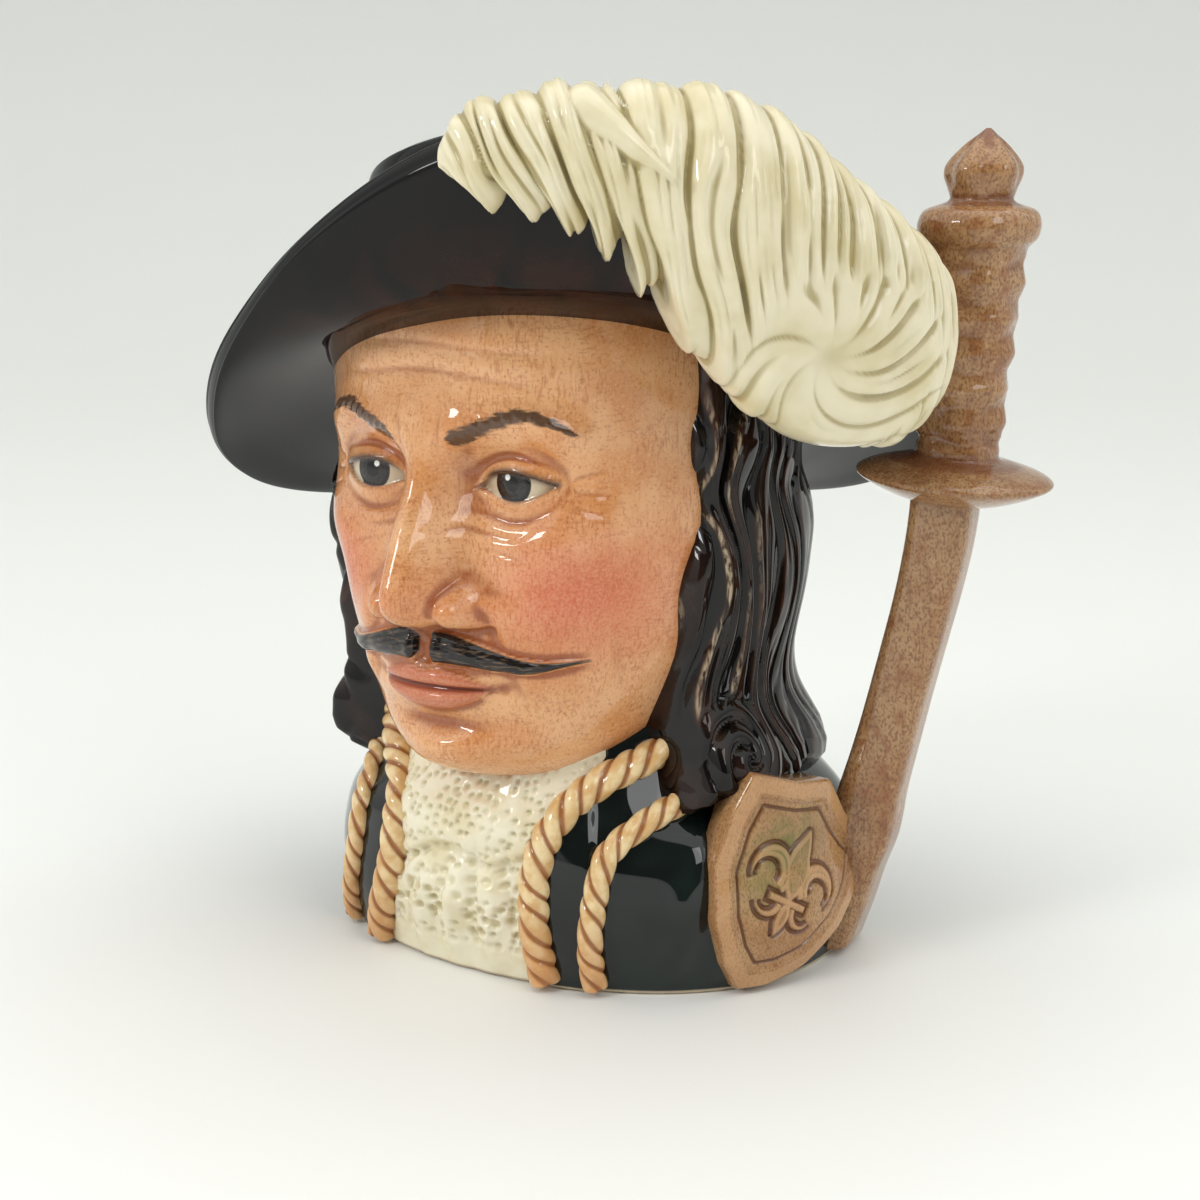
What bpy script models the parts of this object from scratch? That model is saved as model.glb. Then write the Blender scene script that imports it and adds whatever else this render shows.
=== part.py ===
"""Toby jug: a hollow glazed jug cast as the head of a cavalier in a plumed hat, with a sword for its handle.

Metres, +Z up. The origin is the centre of the underside, the face looks along -Y and the handle is at +X.
The vessel, its walls and the handle have real sizes of their own. The modelled figure keeps its
proportions as shares of the jug's height: its numbers are in sculptor's units, 190 to the height,
so that on the real jug they read as millimetres.
"""

import math

import bmesh
import bpy
import numpy as np

# Driving sizes, in metres.
JUG_HEIGHT = 0.190
WALL = 0.0050
FLOOR_THICKNESS = 0.0065
BRIM_THICKNESS = 0.0050
INNER_ROPE_DIAMETER = 0.0062
OUTER_ROPE_DIAMETER = 0.0050
HANDLE_REACH = 0.0840
BLADE_WIDTH = 0.0125
BLADE_THICKNESS = 0.0105
GUARD_DIAMETER = 0.0410
GUARD_THICKNESS = 0.0100
GRIP_DIAMETER = 0.0200
POMMEL_DIAMETER = 0.0160
SHIELD_WIDTH = 0.0440
SHIELD_HEIGHT = 0.0490
SHIELD_BORDER = 0.0045

UNITS_HIGH = 190
UNIT = JUG_HEIGHT / UNITS_HIGH

# The figure, in sculptor's units and degrees. A bearing is 0 at the face and grows towards +X.
HEAD_Y = -12
HAT_PEAK_BEARING = 35
HAT_LINE_PEAK_BEARING = 26
BRIM_REACH = 78
BRIM_EDGE_LOW, BRIM_EDGE_RISE = 88.5, 89.5
HAT_LINE_MIDDLE, HAT_LINE_TILT = 118, 25
CROWN_Y = -9
RIM_MIDDLE, RIM_TILT = 168, 12
HANDLE_BEARING = 99.5
HAIR_START, HAIR_END = 62, 292
BUST_TOP = 58

# Heights with the value there.
BUST_HALF_WIDTH = ((0, 59.5), (12, 62), (22, 61.5), (32, 57), (38, 50), (44, 45), (50, 42), (58, 40))
BUST_HALF_DEPTH = ((0, 47), (12, 49), (22, 49), (32, 48), (38, 46.5), (44, 45), (50, 43), (58, 40))
HEAD_HALF_WIDTH = ((41, 3), (42, 12), (45, 21), (51, 28.5), (60, 35), (70, 40), (85, 44.5), (100, 46.5),
                   (115, 47), (130, 46.5), (145, 45), (160, 41))
HEAD_HALF_DEPTH = ((41, 5), (42, 19), (45, 33), (49, 41.5), (54, 45.5), (62, 46.5), (75, 48), (90, 49),
                   (105, 49.5), (118, 50.5), (130, 51), (145, 50), (160, 45))
HAIR_RADIUS = ((30, 55), (36, 56.5), (42, 55.5), (50, 53), (58, 50), (68, 48.5), (85, 48.5), (97, 51),
               (112, 49), (125, 46), (140, 43))
LACE_LEFT = ((0, -33), (20, -26), (33, -25), (41, -29), (50, -32))
LACE_RIGHT = ((0, 20.5), (15, 18), (28, 19), (38, 24.5), (44, 30.5), (50, 36))
# The body that the vessel's wall follows: height, half width, half depth and centre along Y.
CORE = ((0, 55, 45, 0), (12, 58, 47, 0), (22, 57.5, 47, 0), (32, 52, 46, 0), (42, 44, 43, 0), (50, 41, 41.5, -1),
        (60, 42, 45, -3.5), (75, 44.5, 49, -6.5), (90, 46, 49, -7), (110, 46.5, 48.5, -7), (130, 46, 47, -8.5),
        (148, 44.5, 44.5, -9), (165, 43, 43, -9), (200, 43, 43, -9))
ROPES = {
    "rope_right_inner": ((-33, 2.2), (-25.5, 20), (-25, 33), (-30, 41), (-45, 48), (-68, 54)),
    "rope_right_outer": ((-47.5, 2.2), (-42, 15), (-40, 26), (-43.5, 36), (-57, 43), (-70, 48)),
    "rope_left_inner": ((20.5, 2.2), (18.5, 15), (19, 28), (24, 38), (33.5, 45), (48, 50), (66, 54)),
    "rope_left_outer": ((32.5, 2.2), (31.5, 12), (33, 24), (36, 32), (45.5, 38), (61, 43)),
}


def empty_scene():
    """Removes whatever the file holds."""
    for old in list(bpy.data.objects):
        bpy.data.objects.remove(old)


def collection(name):
    """A collection linked to the scene."""
    made = bpy.data.collections.new(name)
    bpy.context.scene.collection.children.link(made)
    return made


def glazed(name, colour, roughness):
    """A plain ceramic finish."""
    made = bpy.data.materials.new(name)
    made.use_nodes = True
    shader = made.node_tree.nodes["Principled BSDF"]
    shader.inputs["Base Color"].default_value = (*colour, 1)
    shader.inputs["Roughness"].default_value = roughness
    shader.inputs["Metallic"].default_value = 0
    return made


def curve(at, knots):
    """A smooth line through (place, value) knots, read at an array of places: a cubic in each gap."""
    place, value = np.array(knots, float).T
    slope = np.gradient(value, place)
    i = np.clip(np.searchsorted(place, at) - 1, 0, len(place) - 2)
    gap = place[i + 1] - place[i]
    t = np.clip((at - place[i]) / gap, 0, 1)
    start = value[i] * (1 + 2 * t) * (1 - t) ** 2 + gap * slope[i] * t * (1 - t) ** 2
    end = value[i + 1] * t * t * (3 - 2 * t) + gap * slope[i + 1] * t * t * (t - 1)
    return start + end


def hump(offset, width):
    """A bell of height 1."""
    return np.exp(-((offset / width) ** 2))


def ramp(at, low, high):
    """0 below low, 1 above high, and smooth between."""
    t = np.clip((at - low) / (high - low), 0, 1)
    return t * t * (3 - 2 * t)


def blunt_oval(bearing, half_width, half_depth, squareness):
    """The radius of an oval between an ellipse, squareness 2, and a box."""
    across = np.abs(np.sin(bearing)) / half_width
    along = np.abs(np.cos(bearing)) / half_depth
    return (across**squareness + along**squareness) ** (-1 / squareness)


def skin(name, rings, home):
    """A closed form: rings[row, column] is a stack of closed rings, with a fan over each end, in units."""
    rows, columns, _ = rings.shape
    shape = bmesh.new()
    grid = [[shape.verts.new(point * UNIT) for point in ring] for ring in rings]
    for low, high in zip(grid, grid[1:]):
        for i in range(columns):
            j = (i + 1) % columns
            shape.faces.new((low[i], low[j], high[j], high[i]))
    for ring, turned in ((grid[0], True), (grid[-1], False)):
        middle = shape.verts.new(sum((v.co for v in ring), start=ring[0].co * 0) / columns)
        for i in range(columns):
            pair = (ring[i], ring[(i + 1) % columns])
            shape.faces.new((*(reversed(pair) if turned else pair), middle))
    bmesh.ops.recalc_face_normals(shape, faces=shape.faces)
    mesh = bpy.data.meshes.new(name)
    shape.to_mesh(mesh)
    shape.free()
    made = bpy.data.objects.new(name, mesh)
    home.objects.link(made)
    return made


def stack(x, y, z):
    """Three arrays of one shape as points."""
    return np.stack(np.broadcast_arrays(x, y, z), axis=-1)


def eye_relief(x, z):
    """The socket, the ball in it and a rounded lid above and below, forward of the plain head."""
    side = np.abs(x)
    socket = -6.5 * hump(side - 18, 12) * hump(z - 112, 8.5) - 1.5 * hump(side - 9, 4.5) * hump(z - 112, 7)
    ball = 7.5 * np.clip(1 - ((side - 17.6) / 13) ** 2 - ((z - 110) / 10) ** 2, 0, 1)
    across = np.clip(1 - ((side - 17.8) / 12) ** 2, 0, 1)
    upper = 1.6 * hump(z - 111 - 5 * across, 2.3) * across
    lower = 1.2 * hump(z - 108.5 + 4.2 * across, 2) * across
    return socket + ball + upper + lower


def nose_relief(x, z):
    """A ridge that grows to a round tip, a wing on each side and a flat underside."""
    side = np.abs(x)
    height = curve(z, ((76, 0), (79, 1.5), (81.5, 8), (84, 14), (88, 17), (92, 15.5), (98, 11.5), (106, 6.5),
                       (113, 2.5), (119, 0.5), (124, 0)))
    width = curve(z, ((78, 7), (84, 7.4), (88, 7), (94, 5.8), (104, 5.2), (116, 6.5)))
    wings = 6.5 * hump(side - 8.4, 3.6) * hump(z - 85, 4) * ramp(z, 79, 82.5)
    return height * hump(side, width) + wings


def mouth_relief(x, z):
    """The full upper jaw, two lips with a line between them, the hollow above the chin and the chin."""
    side = np.abs(x)
    jaw = 4 * hump(x, 17) * hump(z - 72, 11)
    part = 67.5 + 0.004 * x * x
    fade = 1 - ramp(side, 9, 17)
    upper = 2.2 * hump(z - part - 2.4, 2) * fade
    lower = 2.8 * hump(z - part + 3, 2.6) * (1 - ramp(side, 7, 14))
    line = -2 * hump(z - part, 1.2) * fade
    hollow = -2.6 * hump(x, 12) * hump(z - 59, 3)
    chin = 3.4 * hump(x, 11) * hump(z - 51.5, 6)
    return jaw + upper + lower + line + hollow + chin


def moustache_relief(x, z):
    """Two swept halves, full beside the middle and drawn out to a point."""
    side = np.abs(x)
    centre = 76.5 - 3.4 * ramp(side, 5, 22) + 1.6 * ramp(side, 20, 29)
    half = 2.9 * ramp(side, 0.8, 4) * (1 - 0.8 * ramp(side, 7, 28)) + 0.2
    return 2.2 * hump(z - centre, half) * ramp(side, 0.8, 3) * (1 - ramp(side, 24, 29))


def face_relief(x, z):
    """How far the features stand forward of the plain head."""
    side = np.abs(x)
    brow = 2.6 * hump(z - 121.5 + 0.012 * (side - 16) ** 2, 4) * ramp(side, 2, 9) * (1 - ramp(side, 26, 36))
    cheek = 3 * hump(side - 29, 10) * hump(z - 100, 9) + 2 * hump(side - 24, 10) * hump(z - 84, 10)
    fold = -1.2 * hump(side - 12 - (84 - z) * 0.35, 2.2) * ramp(z, 66, 72) * (1 - ramp(z, 83, 88))
    temple = -1.5 * hump(side - 41, 7) * hump(z - 118, 12)
    features = eye_relief(x, z) + nose_relief(x, z) + mouth_relief(x, z) + moustache_relief(x, z)
    return features + brow + cheek + fold + temple


def head():
    """The face and skull, closed under the chin and inside the hat. Its rows bend round the eyes' lids."""
    even = np.linspace(-1, 1, 29)
    bearing = np.concatenate([1.42 * even * (0.72 + 0.28 * np.abs(even)), np.linspace(1.85, 4.43, 6)])
    row = np.array([41, 42.3, 45, 48, 51.5, 55.5, 59, 61.8, 64.3, 66.4, 67.8, 70, 72, 74, 76.2, 78.5, 80.5, 82.5, 85,
                    88, 92, 96, 100, 103.5, 106.2, 108.6, 111.4, 114, 116.4, 119, 122, 126, 133, 141, 149])[:, None]
    half_width, half_depth = curve(row, HEAD_HALF_WIDTH), curve(row, HEAD_HALF_DEPTH)
    radius = blunt_oval(bearing, half_width, half_depth, 2.25) * (1 - 0.12 * ramp(-np.cos(bearing), 0, 0.6))
    radius = radius * (1 - 0.1 * (row > 145))
    x, y = radius * np.sin(bearing), -radius * np.cos(bearing)
    eye = np.clip(1 - ((np.abs(x) - 17.8) / 12) ** 2, 0, 1)
    height = row + eye * (2.4 * hump(row - 115, 4) - 2 * hump(row - 105.5, 4))
    forward = face_relief(x, height) * ramp(np.cos(bearing), 0, 0.35)
    return stack(x, y + HEAD_Y - forward, height)


def bust_point(bearing, height, out=0):
    """A point of the coat, out units proud of its plain form."""
    half_width, half_depth = curve(height, BUST_HALF_WIDTH) + out, curve(height, BUST_HALF_DEPTH) + out
    radius = blunt_oval(bearing, half_width, half_depth, 2.2)
    return stack(radius * np.sin(bearing), -radius * np.cos(bearing), height)


def cravat_relief(bearing, height):
    """The lace at the throat: a knot above and a gathered fall below, between the two inner ropes."""
    turn = np.degrees(bearing)
    left, right = curve(height, LACE_LEFT), curve(height, LACE_RIGHT)
    middle, half = (left + right) / 2, (right - left) / 2
    across = np.clip(1 - ((turn - middle) / half) ** 2, 0, 1)
    knot = 3.2 * hump(height - 36, 7)
    fall = 1.6 * hump(height - 19, 8) + 0.9 * np.cos(np.radians((turn - middle) * 33)) * hump(height - 14, 12)
    return np.sqrt(across) * (1.5 + knot + fall * across) * ramp(height, -6, 6)


def lapel_relief(bearing, height):
    """The coat's raised front edges, between the two ropes of each side."""
    turn = np.degrees(bearing)
    right = ramp(turn, 20, 22) * (1 - ramp(turn, 30, 34))
    left = ramp(turn, -46, -43) * (1 - ramp(turn, -31, -28))
    return 1.2 * (right + left) * ramp(height, -4, 2) * (1 - ramp(height, 38, 46))


def bust():
    """Coat, collar and lace, from the foot to inside the head."""
    bearing = np.concatenate([np.linspace(-1.75, 1.75, 37), np.linspace(2.05, 4.23, 9)])
    height = np.array([0, 1.2, 7, 14, 21, 28, 33, 37.5, 42, 47, BUST_TOP], float)[:, None]
    relief = cravat_relief(bearing, height) + lapel_relief(bearing, height)
    foot = -1.2 * (height < 1)
    return bust_point(bearing, height, relief + foot)


def hat_line(bearing):
    """Where the hat meets the head: radius and height."""
    radius = blunt_oval(bearing, 49, 52, 2.2)
    return radius, HAT_LINE_MIDDLE + HAT_LINE_TILT * np.cos(bearing - math.radians(HAT_LINE_PEAK_BEARING))


def brim_edge(bearing):
    """The brim's outer edge: radius and height. It is cocked up at one side of the front."""
    peak = (1 + np.cos(bearing - math.radians(HAT_PEAK_BEARING))) / 2
    return BRIM_REACH + 0 * bearing, BRIM_EDGE_LOW + BRIM_EDGE_RISE * peak**2


def hair_reach(bearing, height):
    """The hair's radius about the head's axis: a full mass, fuller at the back, with wavy strands."""
    turn = np.degrees(bearing)
    back = 8 * ramp(turn, 85, 172) * (1 - 0.8 * ramp(turn, 230, 285)) + 3 * ramp(turn, 240, 285)
    wave = turn + 3.5 * np.sin(height / 13 + turn / 40)
    strands = 1.4 * np.cos(np.radians(wave * 18))
    edges = ramp(turn, HAIR_START - 3, HAIR_START + 9) * (1 - ramp(turn, HAIR_END - 7, HAIR_END + 3))
    return 33 + (curve(height, HAIR_RADIUS) + back + strands - 33) * edges**0.6


def hair():
    """Long hair from one cheek round the back to the other, its ends curled under, its top inside the hat."""
    turn = np.concatenate([np.linspace(HAIR_START - 3, HAIR_END + 3, 49), np.linspace(HAIR_END + 25, 400, 4)])
    share = np.array([0, 0.025, 0.07, 0.17, 0.3, 0.45, 0.6, 0.78, 0.95, 1])[:, None]
    angle = np.radians(turn)
    ends = 37 + 2 * np.cos(angle * 10)
    top = hat_line(angle)[1] + 5
    height = ends + share * (top - ends)
    curl = np.interp(share, (0, 0.025, 0.07, 0.8, 0.95), (8, 2.5, 0, 0, 2))
    radius = hair_reach(angle, height) - curl
    radius = np.where(share > 0.99, 30, radius)
    return stack(radius * np.sin(angle), HEAD_Y - radius * np.cos(angle), height)


def hat():
    """Crown and brim: each ring runs round the hat, and the rings go under the brim, over it and up."""
    bearing = np.linspace(0, 2 * math.pi, 44, endpoint=False)
    line_r, line_z = hat_line(bearing)
    edge_r, edge_z = brim_edge(bearing)
    length = np.hypot(edge_r - line_r, edge_z - line_z)
    up_r, up_z = -(edge_z - line_z) / length, (edge_r - line_r) / length
    thick = BRIM_THICKNESS / UNIT

    def across(share, lift):
        bowl = share - 0.22 * share * (1 - share)
        r = line_r + (edge_r - line_r) * share + up_r * lift * thick
        return r, line_z + (edge_z - line_z) * bowl + up_z * lift * thick

    rim_z = RIM_MIDDLE + RIM_TILT * np.cos(bearing - math.radians(HAT_PEAK_BEARING))
    top_r = blunt_oval(bearing, 43.5, 43.5, 2)
    rows = [((line_r - 4) * 0.9, line_z - 3)]
    rows += [across(share, 0) for share in (0.0, 0.33, 0.66, 0.96)]
    rows += [across(1.02, 0.5), across(0.96, 1), across(0.55, 1), across(0.15, 1)]
    base_r, base_z = rows[-1]
    for share in (0.2, 0.55, 0.96):
        rows.append((base_r + (top_r - base_r) * (0.4 + 0.6 * share), base_z + (rim_z - base_z) * share))
    rows.append((top_r - 1.8, rim_z))
    radius, height = np.array([r for r, _ in rows]), np.array([z for _, z in rows])
    return stack(radius * np.sin(bearing), CROWN_Y - radius * np.cos(bearing), height)


PLUME_MIDDLE = ((17, 173), (30, 174), (40, 170.5), (50, 163.5), (60, 156.5), (70, 149), (80, 142.5), (90, 139.5),
                (104, 137))
PLUME_HALF = ((17, 3), (19.5, 8.5), (23, 10), (30, 12), (40, 16.5), (50, 23), (60, 28.5), (70, 28.5), (80, 25.5), (90, 20.5),
              (98, 13), (104, 2))
PLUME_THICK = ((17, 2.5), (19.5, 5), (24, 7.5), (35, 10), (50, 13), (70, 14), (88, 12), (98, 7), (104, 2))
PLUME_REACH = ((17, 76), (30, 75), (50, 73), (70, 74), (90, 78), (104, 80))


def plume():
    """An ostrich feather laid over the brim's raised edge: ovals along the brim, ridged like barbs."""
    turn = np.linspace(17, 104, 41)[:, None]
    round_ = np.linspace(0, 2 * math.pi, 12, endpoint=False)
    barbs = 1 + 0.055 * np.cos(np.radians(turn * 45) + 1.8 * np.sin(round_))
    tips = 1 - 0.16 * ramp(-np.cos(round_), 0.2, 1) * (0.5 + 0.5 * np.cos(np.radians(turn * 45)))
    radius = curve(turn, PLUME_REACH) + curve(turn, PLUME_THICK) * barbs * np.sin(round_)
    height = curve(turn, PLUME_MIDDLE) + curve(turn, PLUME_HALF) * barbs * tips * np.cos(round_)
    angle = np.radians(turn) + 0 * round_
    return stack(radius * np.sin(angle), HEAD_Y - radius * np.cos(angle), height)


def rope(path, diameter):
    """A two-strand twisted cord along (bearing, height) knots on the coat."""
    along = np.linspace(0, 1, 20)[:, None]
    share = np.linspace(0, 1, len(path))
    bearing = np.radians(curve(along, list(zip(share, [b for b, _ in path]))))
    height = curve(along, list(zip(share, [z for _, z in path])))
    centre = bust_point(bearing, height, 1.35)[:, 0]
    forward = np.gradient(centre, axis=0)
    forward /= np.linalg.norm(forward, axis=1)[:, None]
    out = bust_point(bearing, height, 2)[:, 0] - bust_point(bearing, height, 0)[:, 0]
    aside = np.cross(forward, out)
    aside /= np.linalg.norm(aside, axis=1)[:, None]
    out = np.cross(aside, forward)
    turn = np.linspace(0, 2 * math.pi, 6, endpoint=False)
    travelled = np.cumsum(np.linalg.norm(np.diff(centre, axis=0, prepend=centre[:1]), axis=1))[:, None]
    radius = diameter / UNIT / 2 * (1 + 0.16 * np.cos(2 * turn - travelled * 0.8))
    radius = radius[..., None]
    return centre[:, None] + radius * (np.cos(turn)[:, None] * aside[:, None] + np.sin(turn)[:, None] * out[:, None])


def handle_frame():
    """The handle's outward direction and the direction across it, both level."""
    a = math.radians(HANDLE_BEARING)
    return np.array([math.sin(a), -math.cos(a), 0]), np.array([math.cos(a), math.sin(a), 0])


def blade():
    """The sword's blade: a bar with round corners that rises from the foot and leans out to the guard."""
    outward, across = handle_frame()
    height = np.array([2, 10, 18, 26, 34, 44, 58, 72, 88, 107], float)
    lean = curve(height, ((2, -28), (10, -25), (18, -22.4), (26, -19.1), (38, -16.3), (48, -13.8), (70, -8.5),
                          (98, -3), (107, -2.4)))
    swell = curve(height, ((2, 1.3), (18, 1.2), (40, 1.02), (107, 1)))
    turn = np.linspace(0, 2 * math.pi, 12, endpoint=False)
    radius = blunt_oval(turn, 0.5, 0.5, 4.5)
    u = BLADE_THICKNESS / UNIT * radius * np.cos(turn) * swell[:, None] + HANDLE_REACH / UNIT + lean[:, None]
    v = BLADE_WIDTH / UNIT * radius * np.sin(turn) * swell[:, None]
    points = u[..., None] * outward + v[..., None] * across
    points[..., 2] = height[:, None]
    return points


def hilt():
    """Guard, ribbed grip and pommel, turned about an axis that leans out a little: (radius, height) rows."""
    guard, grip, pommel = (size / UNIT / 2 for size in (GUARD_DIAMETER, GRIP_DIAMETER, POMMEL_DIAMETER))
    thick = GUARD_THICKNESS / UNIT
    low, high = 112, 162
    rows = [(6, 107 - thick * 0.5), (guard * 0.6, 107 - thick * 0.36), (guard * 0.9, 107 - thick * 0.1)]
    rows += [(guard, 107 + thick * 0.08), (guard * 0.88, 107 + thick * 0.25), (guard * 0.6, 107 + thick * 0.42)]
    for place in np.linspace(low, high, 13):
        share = (place - low) / (high - low)
        rib = 0.045 * math.cos(share * 2 * math.pi * 6)
        rows.append((grip * (0.86 + 0.14 * share + rib), place))
    rows += [(grip * 1.2, 163.6), (grip * 1.24, 166), (grip * 1.12, 168.6), (pommel * 0.92, 169.6)]
    rows += [(pommel, 172.2), (pommel * 0.86, 174.4), (pommel * 0.42, 177), (0.5, 178.6)]
    radius, height = np.array(rows).T
    outward, across = handle_frame()
    turn = np.linspace(0, 2 * math.pi, 12, endpoint=False)
    lean = HANDLE_REACH / UNIT - 2.5 + (height - 107) * 0.062
    u = radius[:, None] * np.cos(turn) + lean[:, None]
    v = radius[:, None] * np.sin(turn)
    points = u[..., None] * outward + v[..., None] * across
    tilt = np.where(np.abs(height - 107) < thick, 0.07, 0)[:, None]
    points[..., 2] = height[:, None] - tilt * (u - lean[:, None])
    return points


def shield():
    """A peaked shield on the left shoulder, its point forward, bent round the coat, with a raised border."""
    wide, tall, border = SHIELD_WIDTH / UNIT, SHIELD_HEIGHT / UNIT, SHIELD_BORDER / UNIT
    half = [(0, 0.5), (0.22, 0.42), (0.5, 0.36), (0.5, 0.18), (0.44, -0.06), (0.3, -0.29), (0.14, -0.43), (0, -0.5)]
    outline = np.array(half + [(-p, q) for p, q in half[-2:0:-1]])
    inset = 1 - 2 * border / wide
    tip = math.radians(31)
    rings = []
    for share, lift in ((1.0, -4), (1.0, 2.2), (0.96, 3.2), (inset + 0.04, 3.2), (inset, 2), (0.4, 2.2)):
        p, q = outline[:, 0] * wide * share, outline[:, 1] * tall * share
        along, up = p * math.cos(tip) + q * math.sin(tip), q * math.cos(tip) - p * math.sin(tip)
        height = 22.5 + up
        rings.append(bust_point(np.radians(73.5 + along / 1.09), np.minimum(height, 27), lift))
        rings[-1][:, 2] = height
    return np.array(rings)


def cavity():
    """The inside of the vessel, a wall's thickness inside its body, open through the top of the crown."""
    wall, floor = WALL / UNIT, FLOOR_THICKNESS / UNIT
    bearing = np.linspace(0, 2 * math.pi, 24, endpoint=False)
    height = floor + np.array([0, 1.5, 5, 14, 24, 32, 40, 50, 64, 90, 123, 150, 195], float)[:, None]
    corner = np.interp(height, floor + np.array((0, 1.5, 5)), (6, 2.5, 0))
    place, half_width, half_depth, middle = np.array(CORE, float).T
    inner_width = curve(height, list(zip(place, half_width))) - wall - corner
    inner_depth = curve(height, list(zip(place, half_depth))) - wall - corner
    radius = blunt_oval(bearing, inner_width, inner_depth, 2.1)
    return stack(radius * np.sin(bearing), curve(height, list(zip(place, middle))) - radius * np.cos(bearing), height)


def join(target, other, operation):
    """A live Boolean on the jug."""
    modifier = target.modifiers.new(f"{operation.lower()} {other.name}", "BOOLEAN")
    modifier.operation = operation
    modifier.object = other
    modifier.solver = "EXACT"


def build():
    """Models each form, fuses them as one casting and hollows it."""
    empty_scene()
    home = collection("toby_jug")
    forms = collection("forms")
    jug = skin("jug", bust(), home)
    jug.data.materials.append(glazed("glazed_ceramic", (0.05, 0.045, 0.04), 0.12))
    shapes = {"head": head(), "hair": hair(), "hat": hat(), "plume": plume(), "blade": blade(), "hilt": hilt(),
              "shield": shield()}
    for name, path in ROPES.items():
        shapes[name] = rope(path, INNER_ROPE_DIAMETER if "inner" in name else OUTER_ROPE_DIAMETER)
    for name, rings in shapes.items():
        join(jug, skin(name, rings, forms), "UNION")
    join(jug, skin("cavity", cavity(), forms), "DIFFERENCE")
    for form in forms.objects:
        form.hide_render = True
        form.display_type = "WIRE"


build()
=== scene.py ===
"""Looks of a hollow glazed toby jug: a cavalier's head in a plumed hat, with a sword as its handle.

Lengths are in millimetres until a mesh is made. A bearing is 0 at the face (-Y) and grows towards +X.
"""
import math

import bpy
import numpy as np
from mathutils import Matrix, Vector


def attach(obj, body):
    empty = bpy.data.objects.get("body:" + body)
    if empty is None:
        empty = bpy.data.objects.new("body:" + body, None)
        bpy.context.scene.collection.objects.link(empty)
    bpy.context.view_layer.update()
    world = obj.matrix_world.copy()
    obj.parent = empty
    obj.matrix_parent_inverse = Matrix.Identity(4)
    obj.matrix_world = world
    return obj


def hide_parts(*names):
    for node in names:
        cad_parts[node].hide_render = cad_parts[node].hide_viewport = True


UNIT = 0.001

# Sizes of the casting. The blade is drawn stouter than the solid's and the hair runs further round.
WALL = 5.0
FLOOR = 6.5
BRIM_THICKNESS = 5.0
ROPE_DIAMETERS = {"inner": 6.2, "outer": 5.0}
HANDLE_REACH, HANDLE_BEARING = 84.0, 99.5
BLADE_WIDTH, BLADE_THICKNESS = 14.4, 13.4
GUARD_DIAMETER, GUARD_THICKNESS = 41.0, 10.0
GRIP_DIAMETER, POMMEL_DIAMETER = 20.0, 16.0
SHIELD_WIDTH, SHIELD_HEIGHT, SHIELD_BORDER = 44.0, 49.0, 4.5
GUARD_Z = 107
SHIELD_BEARING, SHIELD_Z, SHIELD_LEAN = 73.5, 22.5, 31
HEAD_Y, CROWN_Y = -12, -9
HAT_PEAK, HAT_LINE_PEAK = 35, 26
BRIM_REACH, BRIM_EDGE_LOW, BRIM_EDGE_RISE = 78, 88.5, 89.5
HAT_LINE_MIDDLE, HAT_LINE_TILT = 118, 25
RIM_MIDDLE, RIM_TILT, RIM_RADIUS = 168, 12, 43.5
HAIR_START, HAIR_END = 63, 298
BUST_TOP = 58
BUST_HALF_WIDTH = ((0, 59.5), (12, 62), (22, 61.5), (32, 57), (38, 50), (44, 45), (50, 42), (58, 40))
BUST_HALF_DEPTH = ((0, 47), (12, 49), (22, 49), (32, 48), (38, 46.5), (44, 45), (50, 43), (58, 40))
HEAD_HALF_WIDTH = ((41, 3), (42, 12), (45, 21), (51, 28.5), (60, 35), (70, 40), (85, 44.5), (100, 46.5),
                   (115, 47), (130, 46.5), (145, 45), (160, 41))
HEAD_HALF_DEPTH = ((41, 5), (42, 19), (45, 33), (49, 41.5), (54, 45.5), (62, 46.5), (75, 48), (90, 49),
                   (105, 49.5), (118, 50.5), (130, 51), (145, 50), (160, 45))
HAIR_RADIUS = ((30, 55), (36, 56.5), (42, 55.5), (50, 53), (58, 50), (68, 48.5), (85, 48.5), (97, 51),
               (112, 49), (125, 46), (140, 43))
LACE_LEFT = ((0, -33), (20, -26), (33, -25), (41, -29), (50, -32))
LACE_RIGHT = ((0, 20.5), (15, 18), (28, 19), (38, 24.5), (44, 30.5), (50, 36))
# Height, half width, half depth and middle of the vessel's body at the outside of its wall
CORE = ((0, 55, 45, 0), (12, 58, 47, 0), (22, 57.5, 47, 0), (32, 52, 46, 0), (42, 44, 43, 0),
        (50, 41, 41.5, -1), (60, 42, 45, -3.5), (75, 44.5, 49, -6.5), (90, 46, 49, -7), (110, 46.5, 48.5, -7),
        (130, 46, 47, -8.5), (148, 44.5, 44.5, -9), (165, 43, 43, -9), (200, 43, 43, -9))
CORE_POWER = 2.1
# Rows of the hat's mesh for each row of its profile
HAT_STEPS = 7
# Bearing and height of the points that each cord on the coat passes
ROPES = {
    "rope_right_inner": ((-33, 2.2), (-25.5, 20), (-25, 33), (-30, 41), (-45, 48), (-68, 54)),
    "rope_right_outer": ((-47.5, 2.2), (-42, 15), (-40, 26), (-43.5, 36), (-57, 43), (-70, 48)),
    "rope_left_inner": ((20.5, 2.2), (18.5, 15), (19, 28), (24, 38), (33.5, 45), (48, 50), (66, 54)),
    "rope_left_outer": ((32.5, 2.2), (31.5, 12), (33, 24), (36, 32), (45.5, 38), (61, 43)),
}
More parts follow.
